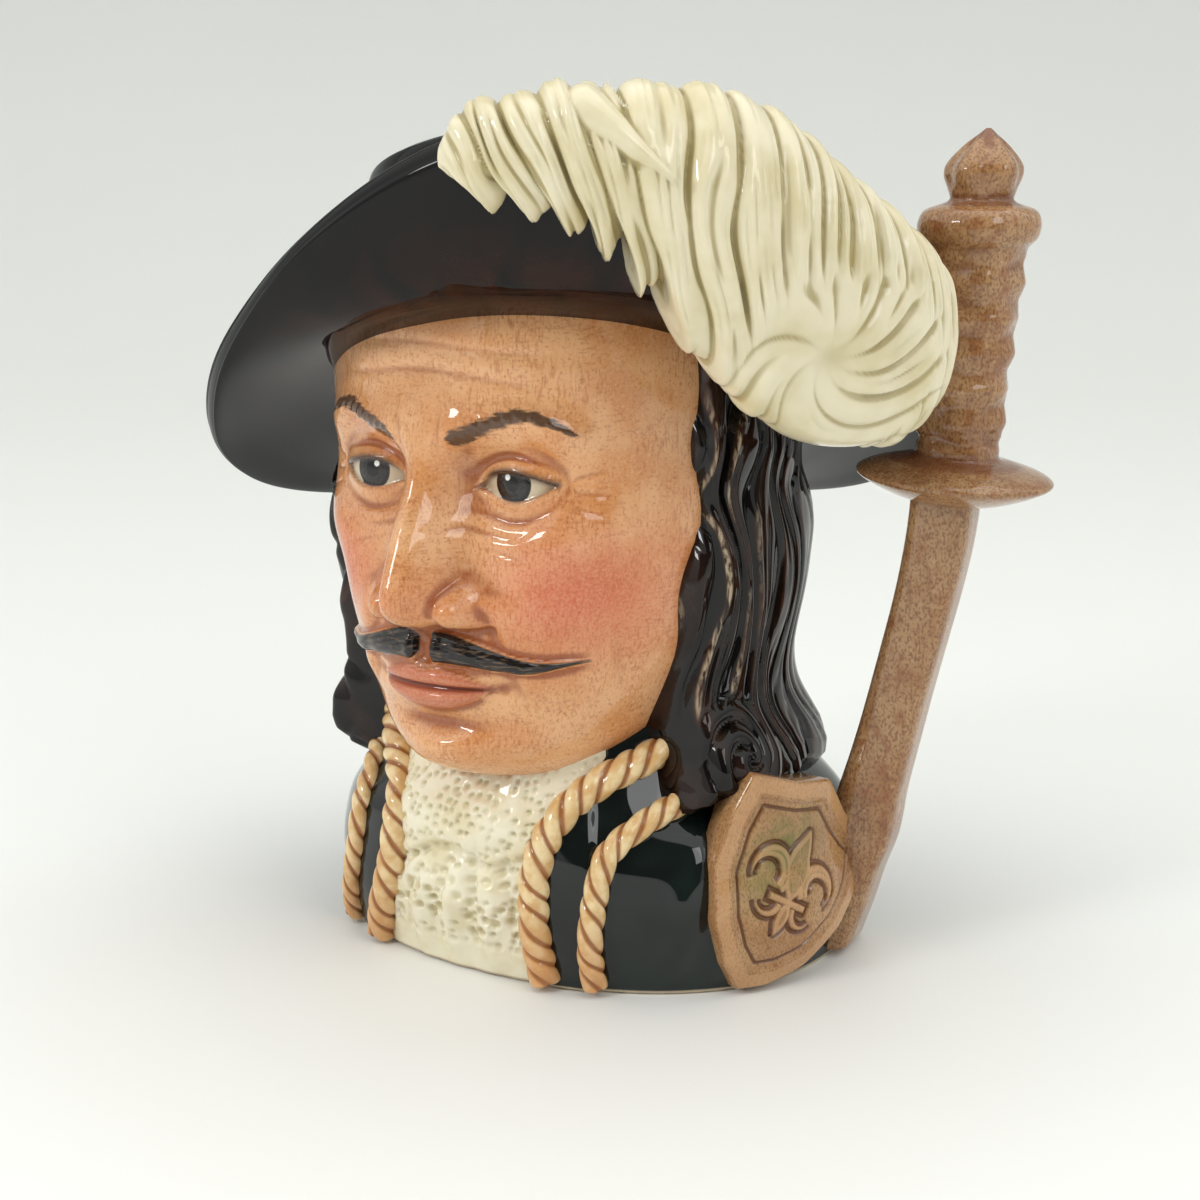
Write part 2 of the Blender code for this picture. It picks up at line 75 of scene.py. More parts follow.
# By bearing along the plume: its middle's height, half its height, its thickness and its distance out
PLUME_MIDDLE = ((17, 173), (30, 174), (40, 170.5), (50, 163.5), (60, 156.5), (70, 149), (80, 142.5),
                (90, 139.5), (104, 137))
PLUME_HALF = ((17, 3), (19.5, 8.5), (23, 10), (30, 12), (40, 16.5), (50, 23), (60, 28.5), (70, 28.5),
              (80, 25.5), (90, 20.5), (98, 13), (104, 2))
PLUME_THICK = ((17, 2.5), (19.5, 5), (24, 7.5), (35, 10), (50, 13), (70, 14), (88, 12), (98, 7), (104, 2))
PLUME_REACH = ((17, 76), (30, 75), (50, 73), (70, 74), (90, 78), (104, 80))
PLUME_ARC, PLUME_LOCK = 76, 7.2
CURL_ALONG, CURL_LEVEL = 91.7, 135.5

# Places on the face, from the proportions that drawing books teach
EYE_X, EYE_Z, EYE_HALF, BALL_RADIUS, IRIS_RADIUS = 17.6, 109.8, 8.8, 11.0, 4.1
MOUTH_Z, MOUTH_HALF = 67.8, 14.5
# Swellings and hollows of the flesh: how far forward, then place across and width, height and length
FLESH = ((1.0, 0, 9, 122, 7), (1.2, 14, 9, 134, 9), (3.2, 29, 10, 99, 8), (2.4, 23, 9.5, 84, 11),
         (-1.6, 42, 7, 118, 12), (-1.6, 34, 7, 76, 12), (-2.2, 8.5, 4.2, 111, 8))
# Height along the nose with how far its ridge stands out, and half its width
NOSE_RIDGE = ((77, 0), (79.3, 1.2), (80.6, 4.8), (81.8, 9.2), (83.6, 12.8), (86, 14.9), (88.5, 15.2),
              (92.5, 13.9), (98, 11.6), (104, 8.9), (110, 6.2), (116, 3.7), (122, 1.5), (129, 0))
NOSE_HALF = ((77, 6), (81, 6.4), (86, 7.2), (90, 7.2), (96, 7.0), (104, 6.8), (112, 7.6), (120, 10))
BROW_MIDDLE = ((5, 118.6), (9, 119.4), (15, 122), (21, 124), (27, 122.6), (33, 118.4))
BROW_HALF = ((5, 0.6), (8, 1.7), (14, 2.0), (22, 1.5), (28, 0.9), (33, 0.2))


# Curves and noise

def cubic(value, slope, i, t, step=1):
    """A place t of the way from value i to the next, on the cubic with the slopes given at both."""
    start = value[i] * (2 * t**3 - 3 * t**2 + 1) + slope[i] * step * (t**3 - 2 * t**2 + t)
    return start + value[i + 1] * (3 * t**2 - 2 * t**3) + slope[i + 1] * step * (t**3 - t**2)


def curve(at, knots):
    """A smooth line through (place, value) knots: cubics whose slopes are those of the neighbouring knots."""
    place, value = np.array(knots, float).T
    at = np.clip(at, place[0], place[-1])
    i = np.clip(np.searchsorted(place, at) - 1, 0, len(place) - 2)
    step = place[i + 1] - place[i]
    return cubic(value, np.gradient(value, place), i, (at - place[i]) / step, step)


def hump(offset, width):
    """1 at offset 0, fading as a bell curve."""
    return np.exp(-((offset / width) ** 2))


def ramp(value, low, high):
    """0 below low, 1 above high, with a smooth step between."""
    t = np.clip((value - low) / (high - low), 0, 1)
    return t * t * (3 - 2 * t)


def higher(a, b, blend):
    """The greater of two heights, with the corner between them rounded over the blend."""
    share = np.clip(0.5 + 0.5 * (a - b) / blend, 0, 1)
    return b + (a - b) * share + blend * share * (1 - share)


def blunt_oval(bearing, half_width, half_depth, power):
    """Radius of an oval at a bearing; a power above 2 squares its corners."""
    across, along = np.abs(np.sin(bearing) / half_width), np.abs(np.cos(bearing) / half_depth)
    return (across**power + along**power) ** (-1 / power)


def scatter(i, j, seed):
    """A fixed number from 0 to 1 for each whole-number place, as good as random."""
    value = np.sin(i * 127.1 + j * 311.7 + seed * 74.7) * 43758.5453
    return value - np.floor(value)


def drift(u, v, seed=0):
    """Smooth noise from -1 to 1: the numbers of the four places around, blended."""
    i, j = np.floor(u), np.floor(v)
    p, q = ramp(u - i, 0, 1), ramp(v - j, 0, 1)
    low = scatter(i, j, seed) * (1 - p) + scatter(i + 1, j, seed) * p
    high = scatter(i, j + 1, seed) * (1 - p) + scatter(i + 1, j + 1, seed) * p
    return 2 * (low * (1 - q) + high * q) - 1


def nearest(u, v, seed=0):
    """Distance to the nearest of points scattered one to a square, and that point's own number."""
    best, own = np.full(np.broadcast(u, v).shape, 9.0), np.zeros(np.broadcast(u, v).shape)
    for di in (-1, 0, 1):
        for dj in (-1, 0, 1):
            i, j = np.floor(u) + di, np.floor(v) + dj
            du = i + 0.15 + 0.7 * scatter(i, j, seed) - u
            dv = j + 0.15 + 0.7 * scatter(i, j, seed + 5) - v
            away = np.hypot(du, dv)
            own = np.where(away < best, scatter(i, j, seed + 9), own)
            best = np.minimum(away, best)
    return best, own


def parted(line, place, seed, repeat=0):
    """Strands parted by sharp cuts at each whole number of line, as a height from 0 to 1.

    Each cut fades in and out along place, which counts lengths. With repeat, line is the same again after
    that many cuts.
    """
    near = np.round(line)
    name = near % repeat if repeat else near
    off = np.minimum(np.abs(line - near) * 2, 1)
    start = place + scatter(name, 1, seed)
    own = scatter(name, np.floor(start), seed + 1)
    run = start - np.floor(start)
    deep = ramp(own, 0.15, 0.3) * ramp(run, 0, 0.3) * (1 - ramp(run, 0.7, 1)) * (0.55 + 0.45 * own)
    return 1 - deep * ramp(1 - off, 0, 1) ** 2


def uneven(points, size, seed=0):
    """Gentle waves over any side of the jug, about size across: three crossed sines, from -1 to 1."""
    x, y, z = np.moveaxis(points / size * 2.6, -1, 0)
    return (np.sin(2.1 * x + 1.3 * z + seed) + np.sin(2.2 * z - 1.7 * y + 2 * seed)
            + np.sin(1.9 * x + 2.3 * y - 0.7 * z + 3 * seed)) / 3


def hollow(relief, reach, wrap=False):
    """How far each place lies below the mean of its neighbours within reach cells: where colour pools and
    shade is painted.
    """
    soft = relief
    for axis in (0, 1):
        total = np.zeros_like(relief)
        for shift in range(-reach, reach + 1):
            moved = np.roll(soft, shift, axis)
            if not wrap and shift:
                edge = [slice(None)] * 2
                edge[axis] = slice(0, shift) if shift > 0 else slice(shift, None)
                moved[tuple(edge)] = soft[tuple(edge)]
            total += moved
        soft = total / (2 * reach + 1)
    return soft - relief


def stack(x, y, z):
    """Three arrays of one shape as points."""
    return np.stack(np.broadcast_arrays(x, y, z), axis=-1)


def around(radius, bearing, height, middle=0):
    """Points at a radius and bearing about an upright line through (0, middle)."""
    return stack(radius * np.sin(bearing), middle - radius * np.cos(bearing), height)


def refine(knots, steps):
    """Rows between given rows, on cubics through them with the slopes of their neighbours."""
    at = np.linspace(0, len(knots) - 1, (len(knots) - 1) * steps + 1)
    i = np.minimum(at.astype(int), len(knots) - 2)
    t = (at - i).reshape((-1,) + (1,) * (knots.ndim - 1))
    return cubic(knots, np.gradient(knots, axis=0), i, t)


# Meshes

def piece(name, points, finish, ends="closed", **masks):
    """A closed mesh from rows of points that each run round: the rows' ends get a middle point, or they join.

    Each mask has a number for each point and becomes an attribute. The faces are turned outwards by the sign
    of the volume that they enclose.
    """
    rows, columns = points.shape[:2]
    vertices = points.reshape(-1, 3) * UNIT
    index = np.arange(rows * columns).reshape(rows, columns)
    beside = np.roll(index, -1, axis=1)
    if ends == "joined":
        above, above_beside = np.roll(index, -1, axis=0), np.roll(beside, -1, axis=0)
        faces = np.stack([index, beside, above_beside, above], axis=-1).reshape(-1, 4)
    else:
        faces = np.stack([index[:-1], beside[:-1], beside[1:], index[1:]], axis=-1).reshape(-1, 4)
        middles = np.stack([points[0].mean(axis=0), points[-1].mean(axis=0)]) * UNIT
        vertices = np.concatenate([vertices, middles])
    corner = vertices[faces]
    lower = np.einsum("ij,ij->i", corner[:, 0], np.cross(corner[:, 1], corner[:, 2])).sum()
    upper = np.einsum("ij,ij->i", corner[:, 0], np.cross(corner[:, 2], corner[:, 3])).sum()
    loops = [faces.reshape(-1)]
    sizes = [np.full(len(faces), 4)]
    if ends != "joined":
        first, last = len(vertices) - 2, len(vertices) - 1
        loops.append(np.stack([beside[0], index[0], np.full(columns, first)], axis=-1).reshape(-1))
        loops.append(np.stack([index[-1], beside[-1], np.full(columns, last)], axis=-1).reshape(-1))
        sizes.append(np.full(2 * columns, 3))
    loops, sizes = np.concatenate(loops), np.concatenate(sizes)
    starts = np.cumsum(sizes) - sizes
    mesh = bpy.data.meshes.new(name)
    mesh.vertices.add(len(vertices))
    mesh.vertices.foreach_set("co", vertices.reshape(-1))
    mesh.loops.add(len(loops))
    mesh.loops.foreach_set("vertex_index", loops.astype(np.int32))
    mesh.polygons.add(len(sizes))
    mesh.polygons.foreach_set("loop_start", starts.astype(np.int32))
    mesh.polygons.foreach_set("use_smooth", np.ones(len(sizes), bool))
    for mask_name, values in masks.items():
        values = np.broadcast_to(values, (rows, columns)).astype(float)
        extra = [] if ends == "joined" else [values[0].mean(), values[-1].mean()]
        attribute = mesh.attributes.new(mask_name, "FLOAT", "POINT")
        attribute.data.foreach_set("value", np.concatenate([values.reshape(-1), extra]).astype(np.float32))
    mesh.update(calc_edges=True)
    if lower + upper < 0:
        mesh.flip_normals()
    mesh.materials.append(finish)
    made = bpy.data.objects.new(name, mesh)
    bpy.context.scene.collection.objects.link(made)
    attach(made, "root")
    return made


# Materials

def paint(red, green, blue):
    """A colour given as it looks on a screen, 0 to 255, as the shader's own numbers."""
    shown = np.array([red, green, blue]) / 255
    linear = np.where(shown < 0.04045, shown / 12.92, ((shown + 0.055) / 1.055) ** 2.4)
    return (*(float(part) for part in linear), 1.0)


class Wire:
    """A socket's value: arithmetic on it adds Math nodes to its finish."""

    def __init__(self, finish, socket):
        self.finish, self.socket = finish, socket

    def math(self, operation, *values):
        return self.finish.node("ShaderNodeMath", {"operation": operation}, values)

    def __add__(self, other):
        return self.math("ADD", self, other)

    def __sub__(self, other):
        return self.math("SUBTRACT", self, other)

    def __rsub__(self, other):
        return self.math("SUBTRACT", other, self)

    def __mul__(self, other):
        return self.math("MULTIPLY", self, other)

    def __pow__(self, other):
        return self.math("POWER", self, other)

    __radd__ = __add__
    __rmul__ = __mul__

    def step(self, low, high, top=1.0):
        """0 at low and top at high, with a smooth step between."""
        values = {0: self, 1: low, 2: high, 3: 0.0, 4: top}
        return self.finish.node("ShaderNodeMapRange", {"interpolation_type": "SMOOTHSTEP"}, values)


class Nodes:
    """A tree of nodes and the shader that it ends in."""

    def __init__(self, tree, shader):
        self.tree, self.shader = tree, tree.nodes[shader]

    def node(self, kind, settings, values, output=0):
        """Any node: its settings first, then its sockets' values or wires; gives one of its outputs."""
        made = self.tree.nodes.new(kind)
        for key, value in settings.items():
            setattr(made, key, value)
        for key, value in values.items() if isinstance(values, dict) else enumerate(values):
            if isinstance(value, Wire):
                self.tree.links.new(value.socket, made.inputs[key])
            else:
                made.inputs[key].default_value = value
        return Wire(self, made.outputs[output])

    def blend(self, below, above, share):
        """One colour over another, share from 0 to 1."""
        return self.node("ShaderNodeMix", {"data_type": "RGBA"}, {0: share, 6: below, 7: above}, 2)

    def layers(self, ground, *coats):
        """Coats brushed over a ground in turn, each a screen colour and its share."""
        for colour, share in coats:
            ground = self.blend(ground, paint(*colour), share)
        return ground

    def put(self, socket, wire):
        self.tree.links.new(wire.socket, self.shader.inputs[socket])


class Finish(Nodes):
    """A painted surface under clear glaze: one material, with its nodes made in order."""

    def __init__(self, name, roughness=0.3, coat_roughness=0.035, coat=1.0):
        self.material = bpy.data.materials.new(name)
        self.material.use_nodes = True
        super().__init__(self.material.node_tree, "Principled BSDF")
        self.shader.inputs["Roughness"].default_value = roughness
        self.shader.inputs["Coat Weight"].default_value = coat
        self.shader.inputs["Specular IOR Level"].default_value = 0.0 if coat else 0.5
        self.shader.inputs["Coat Roughness"].default_value = coat_roughness
        self.place = self.node("ShaderNodeTexCoord", {}, {}, "Object")

    def mask(self, name):
        """The number that the mesh holds for each point under this name."""
        return self.node("ShaderNodeAttribute", {"attribute_name": name}, {}, "Fac")

    def noise(self, size, detail=2.0, stretch=(1, 1, 1), warp=0.0):
        """Noise from 0 to 1 with lumps about size millimetres across, longer where stretch is above 1."""
        scale = tuple(1 / part for part in stretch)
        turned = self.node("ShaderNodeMapping", {}, {"Vector": self.place, "Scale": scale})
        values = {"Vector": turned, "Scale": 1 / (size * UNIT), "Detail": detail, "Distortion": warp}
        return self.node("ShaderNodeTexNoise", {}, values, "Fac")

    def clouded(self, one, other, size, detail, low, high):
        """One screen colour that drifts into another where noise of a size rises from low to high."""
        return self.blend(paint(*one), paint(*other), self.noise(size, detail).step(low, high))

    def along(self, axis):
        """The place along X, Y or Z in millimetres."""
        return self.node("ShaderNodeSeparateXYZ", {}, [self.place], axis) * (1 / UNIT)

    def bump(self, height, depth):
        """Fine relief, depth in millimetres for a height from 0 to 1."""
        values = {"Strength": 1.0, "Distance": depth * UNIT, "Height": height}
        self.put("Normal", self.node("ShaderNodeBump", {}, values))


def black_glaze():
    """The hat: near black gloss, brown beside the forehead as a painted reflection of the face, with faint
    pooling.
    """
    finish = Finish("black_glaze", 0.35, 0.02, 0.5)
    black = finish.clouded((7, 7, 8), (14, 11, 10), 14, 3, 0.4, 0.8)
    # Painted reflection of the face: brown on the brim's underside beside the forehead.
    thin = finish.mask("thin") * finish.noise(9, 3, (1, 1, 3), 0.6).step(0.3, 0.75)
    finish.put("Base Color", finish.layers(black, ((58, 28, 17), thin)))
    return finish.material


def hair_glaze():
    """Dark brown-black over the strands, with a pale stroke dry-brushed on some ridges as a painted
    highlight.
    """
    finish = Finish("hair_glaze", 0.25, 0.03, 0.7)
    ridge = finish.mask("ridge")
    # Painted highlight: pale strokes on the ridge tops beside the face.
    streak = ridge.step(0.55, 0.95) * finish.mask("streak") * finish.noise(0.9, 4, (1, 1, 5)).step(0.40, 0.62)
    brown = ridge.step(0.2, 0.8) * finish.noise(9, 2).step(0.3, 0.65)
    coats = ((60, 36, 25), brown), ((196, 176, 146), streak * 0.85)
    finish.put("Base Color", finish.layers(paint(12, 9, 9), *coats))
    return finish.material


def coat_glaze():
    """Dark bottle-green coat, cream lace with tan in its pits, and the bare clay of the foot."""
    finish = Finish("coat_glaze", 0.25)
    cloth = finish.clouded((12, 19, 18), (22, 34, 31), 16, 3, 0.4, 0.7)
    pit = finish.mask("pit").step(0.15, 0.9)
    cream = finish.clouded((238, 231, 206), (226, 216, 180), 8, 3, 0.4, 0.75)
    # Tan pooled in the lace's pits, also painted shade there.
    cream = finish.layers(cream, ((202, 188, 142), pit * finish.noise(12, 2).step(0.1, 0.6) * 0.85))
    colour = finish.blend(cloth, cream, finish.mask("lace").step(0.35, 0.65))
    foot = finish.along("Z").step(1.3, 0.7)
    clay = finish.blend(paint(214, 200, 176), paint(190, 172, 146), finish.noise(3, 4))
    finish.put("Base Color", finish.blend(colour, clay, foot))
    finish.put("Roughness", foot * 0.5 + 0.25)
    finish.put("Coat Weight", 1 - foot)
    finish.bump(finish.noise(7, 2), 0.08)
    return finish.material


def plume_glaze():
    """Ivory glaze with olive-grey pooled between the barbs, also painted shade in the grooves."""
    finish = Finish("plume_glaze", 0.3)
    cream = finish.clouded((229, 220, 190), (213, 201, 160), 12, 3, 0.35, 0.75)
    groove = finish.mask("groove")
    # Olive-grey pooled in the grooves, darkest in the deepest: also painted shade there.
    wash_and_shade = groove.step(0.03, 0.5) * finish.noise(20, 2).step(0.05, 0.5)
    deep = groove.step(0.5, 1.4) * finish.noise(15, 2).step(0.48, 0.7)
    coats = ((168, 152, 100), wash_and_shade * 0.85), ((128, 122, 96), deep * 0.6)
    finish.put("Base Color", finish.layers(cream, *coats))
    finish.bump(finish.noise(3, 2), 0.04)
    return finish.material


def flesh_glaze():
    """The face: warm flesh with fine brown brush strokes, rosy cheeks, painted eyes, brows and lips."""
    finish = Finish("flesh_glaze", 0.3)
    stroke = finish.noise(0.5, 2, (1, 1, 5), 0.2)
    cross = finish.noise(0.55, 2, (4, 4, 1), 0.2)
    speck = finish.noise(0.6, 3)
    lips = finish.mask("lips").step(-0.35, 0.45)
    skin = finish.layers(
        finish.clouded((230, 176, 128), (214, 148, 94), 13, 3, 0.35, 0.7),
        ((170, 96, 54), stroke.step(0.48, 0.66) * finish.noise(11, 2).step(0.36, 0.56) * 0.42),
        ((172, 100, 58), cross.step(0.50, 0.68) * finish.noise(9, 2).step(0.48, 0.62) * 0.36),
        ((156, 84, 44), speck.step(0.54, 0.72) * 0.45),
        ((228, 182, 140), speck.step(0.46, 0.3) * 0.45),
        ((204, 92, 64), finish.mask("rosy") * (speck.step(0.2, 0.7) * 0.35 + 0.5)),
        # Brown pooled in the face's creases and hollows, also painted shade there.
        ((140, 62, 30), finish.mask("crease").step(0.03, 0.5) * 0.72),
        ((190, 106, 82), lips * (speck.step(0.2, 0.8) * 0.3 + 0.6)),
        ((120, 52, 34), finish.mask("lipline")))
    side = finish.along("X").math("ABSOLUTE", finish.along("X")) - EYE_X
    rise = finish.along("Z") - EYE_Z - 0.3
    away = (side * side + rise * rise) ** 0.5
    # The eyeball's paint darkens towards the corners: painted shade on the round ball.
    shaded_white = finish.blend(paint(204, 188, 160), paint(160, 128, 98), (side * side).step(14, 64))
    glint_side, glint_rise = side + 1.1, rise - 1.25
    glint = (glint_side * glint_side + glint_rise * glint_rise) ** 0.5
    iris = finish.layers(
        finish.clouded((50, 47, 44), (28, 26, 26), 0.7, 2, 0.35, 0.7),
        ((26, 22, 22), away.step(IRIS_RADIUS - 1.0, IRIS_RADIUS - 0.45)),
        ((12, 10, 10), away.step(1.75, 1.45)),
        ((250, 250, 246), glint.step(0.75, 0.5)))
    eye = finish.blend(shaded_white, iris, away.step(IRIS_RADIUS + 0.15, IRIS_RADIUS - 0.15))
    brush = finish.noise(0.8, 2, (3.2, 3.2, 1), 0.4)
    brow = (finish.mask("brow") + brush * 0.9 - 0.45).step(0.25, 0.6)
    skin = finish.blend(skin, eye, finish.mask("eye").step(-0.1, 0.3))
    # Eyelash lines on the lids; the upper one is widened as painted shade along the lid's edge.
    skin = finish.layers(skin, ((52, 34, 28), finish.mask("lash_and_lid_shade")), ((56, 44, 38), brow * 0.88))
    fleck = finish.noise(0.6, 2, (5, 5, 1), 0.3).step(0.50, 0.72)
    hairs = finish.blend(paint(30, 26, 25), paint(96, 78, 62), fleck)
    finish.put("Base Color", finish.blend(skin, hairs, finish.mask("whisker").step(-0.15, 0.25)))
    finish.bump(stroke + cross * 0.7, 0.07)
    return finish.material


def rope_glaze():
    """Ochre cord, cream on the strands' tops and brown between them."""
    finish = Finish("rope_glaze", 0.3)
    finish.put("Base Color", finish.layers(
        finish.clouded((214, 174, 116), (236, 212, 164), 3.5, 3, 0.35, 0.65),
        ((206, 142, 84), finish.along("Z").step(24, 4) * 0.6),
        # Brown pooled between the strands, also painted shade there.
        ((150, 88, 42), finish.mask("groove").step(0.12, 0.8) * 0.9),
        ((200, 138, 82), finish.noise(9, 2).step(0.5, 0.75) * 0.4)))
    finish.bump(finish.noise(0.9, 2), 0.05)
    return finish.material


def tan_glaze():
    """The sword: tan with a fine red-brown mottle sponged over it."""
    finish = Finish("tan_glaze", 0.3)
    sponge = finish.noise(0.5, 4, (1, 1, 1.6))
    finish.put("Base Color", finish.layers(
        finish.clouded((176, 138, 98), (158, 114, 74), 11, 3, 0.35, 0.7),
        ((96, 56, 34), sponge.step(0.44, 0.64) * 0.62),
        ((118, 72, 44), finish.noise(1.6, 3, (1, 1, 6)).step(0.5, 0.7) * 0.4),
        ((134, 78, 46), finish.noise(4, 4).step(0.5, 0.7) * 0.5),
        ((196, 160, 118), finish.noise(1.7, 3).step(0.58, 0.75) * 0.5),
        # Brown pooled in the blade's and hilt's hollows, also painted shade there.
        ((112, 60, 38), finish.mask("groove").step(0.1, 0.8) * 0.6)))
    finish.bump(sponge, 0.08)
    return finish.material


def shield_glaze():
    """The shield: tan stippled with brown, an olive patch on it, and brown in its cut lines."""
    finish = Finish("shield_glaze", 0.3)
    speck = finish.noise(0.45, 4, (1, 1, 1.5))
    olive = finish.mask("olive") * finish.noise(7, 3, (1, 1, 1), 0.6).step(0.3, 0.6)
    finish.put("Base Color", finish.layers(
        finish.clouded((184, 144, 100), (168, 122, 78), 9, 3, 0.35, 0.7),
        ((112, 66, 38), speck.step(0.44, 0.68) * 0.6),
        ((102, 106, 44), olive * 0.85),
        ((206, 160, 114), finish.mask("raised").step(0.2, 0.8) * 0.45),
        # Brown pooled in the cut lines and round the lily, also painted shade there.
        ((100, 58, 34), finish.mask("groove").step(0.12, 0.8) * 0.85)))
    finish.bump(speck, 0.06)
    return finish.material


def lining_glaze():
    """The inside: plain cream glaze."""
    finish = Finish("lining_glaze", 0.25)
    finish.put("Base Color", finish.blend(paint(240, 236, 222), paint(228, 221, 202), finish.noise(15, 3)))
    finish.bump(finish.noise(12, 2), 0.08)
    return finish.material


# The vessel

def core(height, out):
    """Half width, half depth and middle of the vessel's inside at a height, moved out into the wall."""
    place, *sizes = np.array(CORE, float).T
    half_width, half_depth, middle = (curve(height, list(zip(place, size))) for size in sizes)
    return half_width - WALL + out, half_depth - WALL + out, middle


def wall_point(bearing, height, out):
    """A point of the inside of the vessel, moved out into the wall. It is an oval whose middle leans back."""
    half_width, half_depth, middle = core(height, out)
    return around(blunt_oval(bearing, half_width, half_depth, CORE_POWER), bearing, height, middle)


def keep_out(points, out=2.2):
    """Points, with those that would show inside the vessel pushed straight out into its wall."""
    x, y, z = np.moveaxis(points, -1, 0)
    half_width, half_depth, y0 = core(z, out)
    share = np.abs(x / half_width) ** CORE_POWER + np.abs((y - y0) / half_depth) ** CORE_POWER
    share = share ** (1 / CORE_POWER)
    push = np.where(share < 1, 1 / np.maximum(share, 0.05), 1)
    return stack(x * push, y0 + (y - y0) * push, z)


def shell(outside, bearing):
    """A tube's rows: the outside kept clear of the hollow, then back down within the wall."""
    outside = keep_out(outside)
    share = np.linspace(0, 1, 8)[:, None]
    height = outside[-1, :, 2] + (outside[0, :, 2] - outside[-1, :, 2]) * share
    return np.concatenate([outside, wall_point(bearing, height, 1.2)])


def rim_height(bearing):
    """Height of the crown's open rim."""
    return RIM_MIDDLE + RIM_TILT * np.cos(bearing - math.radians(HAT_PEAK))


def lining(finish):
    """The glazed inside: a thin cup in the wall, round at the floor, up to just under the rim."""
    bearing = np.linspace(0, 2 * math.pi, 120, endpoint=False)
    share = np.linspace(0, 1, 60)[:, None]
    turned = np.linspace(0, math.pi / 2, 8)[:, None]
    thick, bend, below_rim = 0.9, 7, 2.5
    inside, outside = [], []
    for rows, out, low in ((outside, thick, FLOOR - thick), (inside, 0, FLOOR)):
        for part in (0.02, 0.3, 0.6, 0.85):
            rows.append(wall_point(bearing, 12 + 0 * bearing, out - bend) * (part, part, 0) + (0, 0, low))
        corner_z = low + bend * (1 - np.cos(turned)) + 0 * bearing
        rows.extend(wall_point(bearing, corner_z, out - bend * (1 - np.sin(turned))))
        height = low + bend + (rim_height(bearing) - below_rim - low - bend) * share[1:]
        rows.extend(wall_point(bearing, height, out))
    return piece("lining", np.array(outside + inside[::-1]), finish)


def bust_point(bearing, height, out=0):
    """A point of the coat, out units proud of its plain form."""
    half_width, half_depth = curve(height, BUST_HALF_WIDTH) + out, curve(height, BUST_HALF_DEPTH) + out
    return around(blunt_oval(bearing, half_width, half_depth, 2.2), bearing, height)


def lace_relief(turn, height):
    """The cravat: a gathered knot above a fall of lace in folds, pierced all over by uneven pits.

    Gives the relief, the mask of the lace and that of its pits.
    """
    left, right = curve(height, LACE_LEFT), curve(height, LACE_RIGHT)
    middle, half = (left + right) / 2, (right - left) / 2
    off = (turn - middle) / half
    across = np.clip(1 - off**2, 0, 1)
    lean = turn - middle
    knot = 3.2 * hump(height - 36, 7)
    fall = 1.6 * hump(height - 19, 8) * across
    fall = fall + 0.9 * np.cos(np.radians(lean * 33)) * hump(height - 14, 12) * across
    side = lean * 0.86
    tuck_z = 28 + 2.2 * np.cos(side / 4.3 + 0.8) + 0.12 * side
    tuck = 1.1 * ramp(height, tuck_z - 0.9, tuck_z + 0.9) - 1.3 * hump(height - tuck_z + 1.0, 1.5)
    pleat = side * (0.30 + 0.004 * height) + 1.1 + 0.9 * drift(side / 9, height / 12, 3)
    pleats = 1.5 * np.abs(np.sin(pleat)) ** 0.8 * hump(height - 20, 8) * ramp(height, 3, 10)
    puff = 0.8 * drift(side / 6, height / 5, 6) * hump(height - 37, 7)
    puff = puff + 0.3 * drift(side / 4, height / 3.4, 7)
    bend = 0.12 * drift(side / 3, height / 3, 1)
    away, own = nearest(side / 3.5 + bend, height / 3.0 - bend, 2)
    close, other = nearest(side / 2.3 + 5 - bend, height / 2.1 + bend, 4)
    low = 1 - ramp(height, 24, 32)
    big = (1 - ramp(away, 0.14, 0.38 + 0.14 * own)) * (own > 0.2) * low
    small = (1 - ramp(close, 0.10, 0.34 + 0.14 * other)) * (other > 0.2 + 0.45 * low)
    few = ramp(drift(side / 8, height / 7, 9), -0.9, 0.1)
    within = ramp(1 - np.abs(off), 0.03, 0.09) * ramp(height, 4, 11)
    pit = np.maximum(big, 0.75 * small) * (0.55 + 0.45 * few) * within
    relief = np.sqrt(across) * (1.2 + knot + fall + tuck + pleats + puff)
    return relief * ramp(height, -6, 6) - 1.3 * pit * (across > 0), ramp(across, 0, 0.06), pit


def lapel_relief(turn, height):
    """The coat's raised front edges, between the two ropes of each side."""
    right = ramp(turn, 20, 22) * (1 - ramp(turn, 30, 34))
    left = ramp(turn, -46, -43) * (1 - ramp(turn, -31, -28))
    return 1.2 * (right + left) * ramp(height, -4, 2) * (1 - ramp(height, 38, 46))


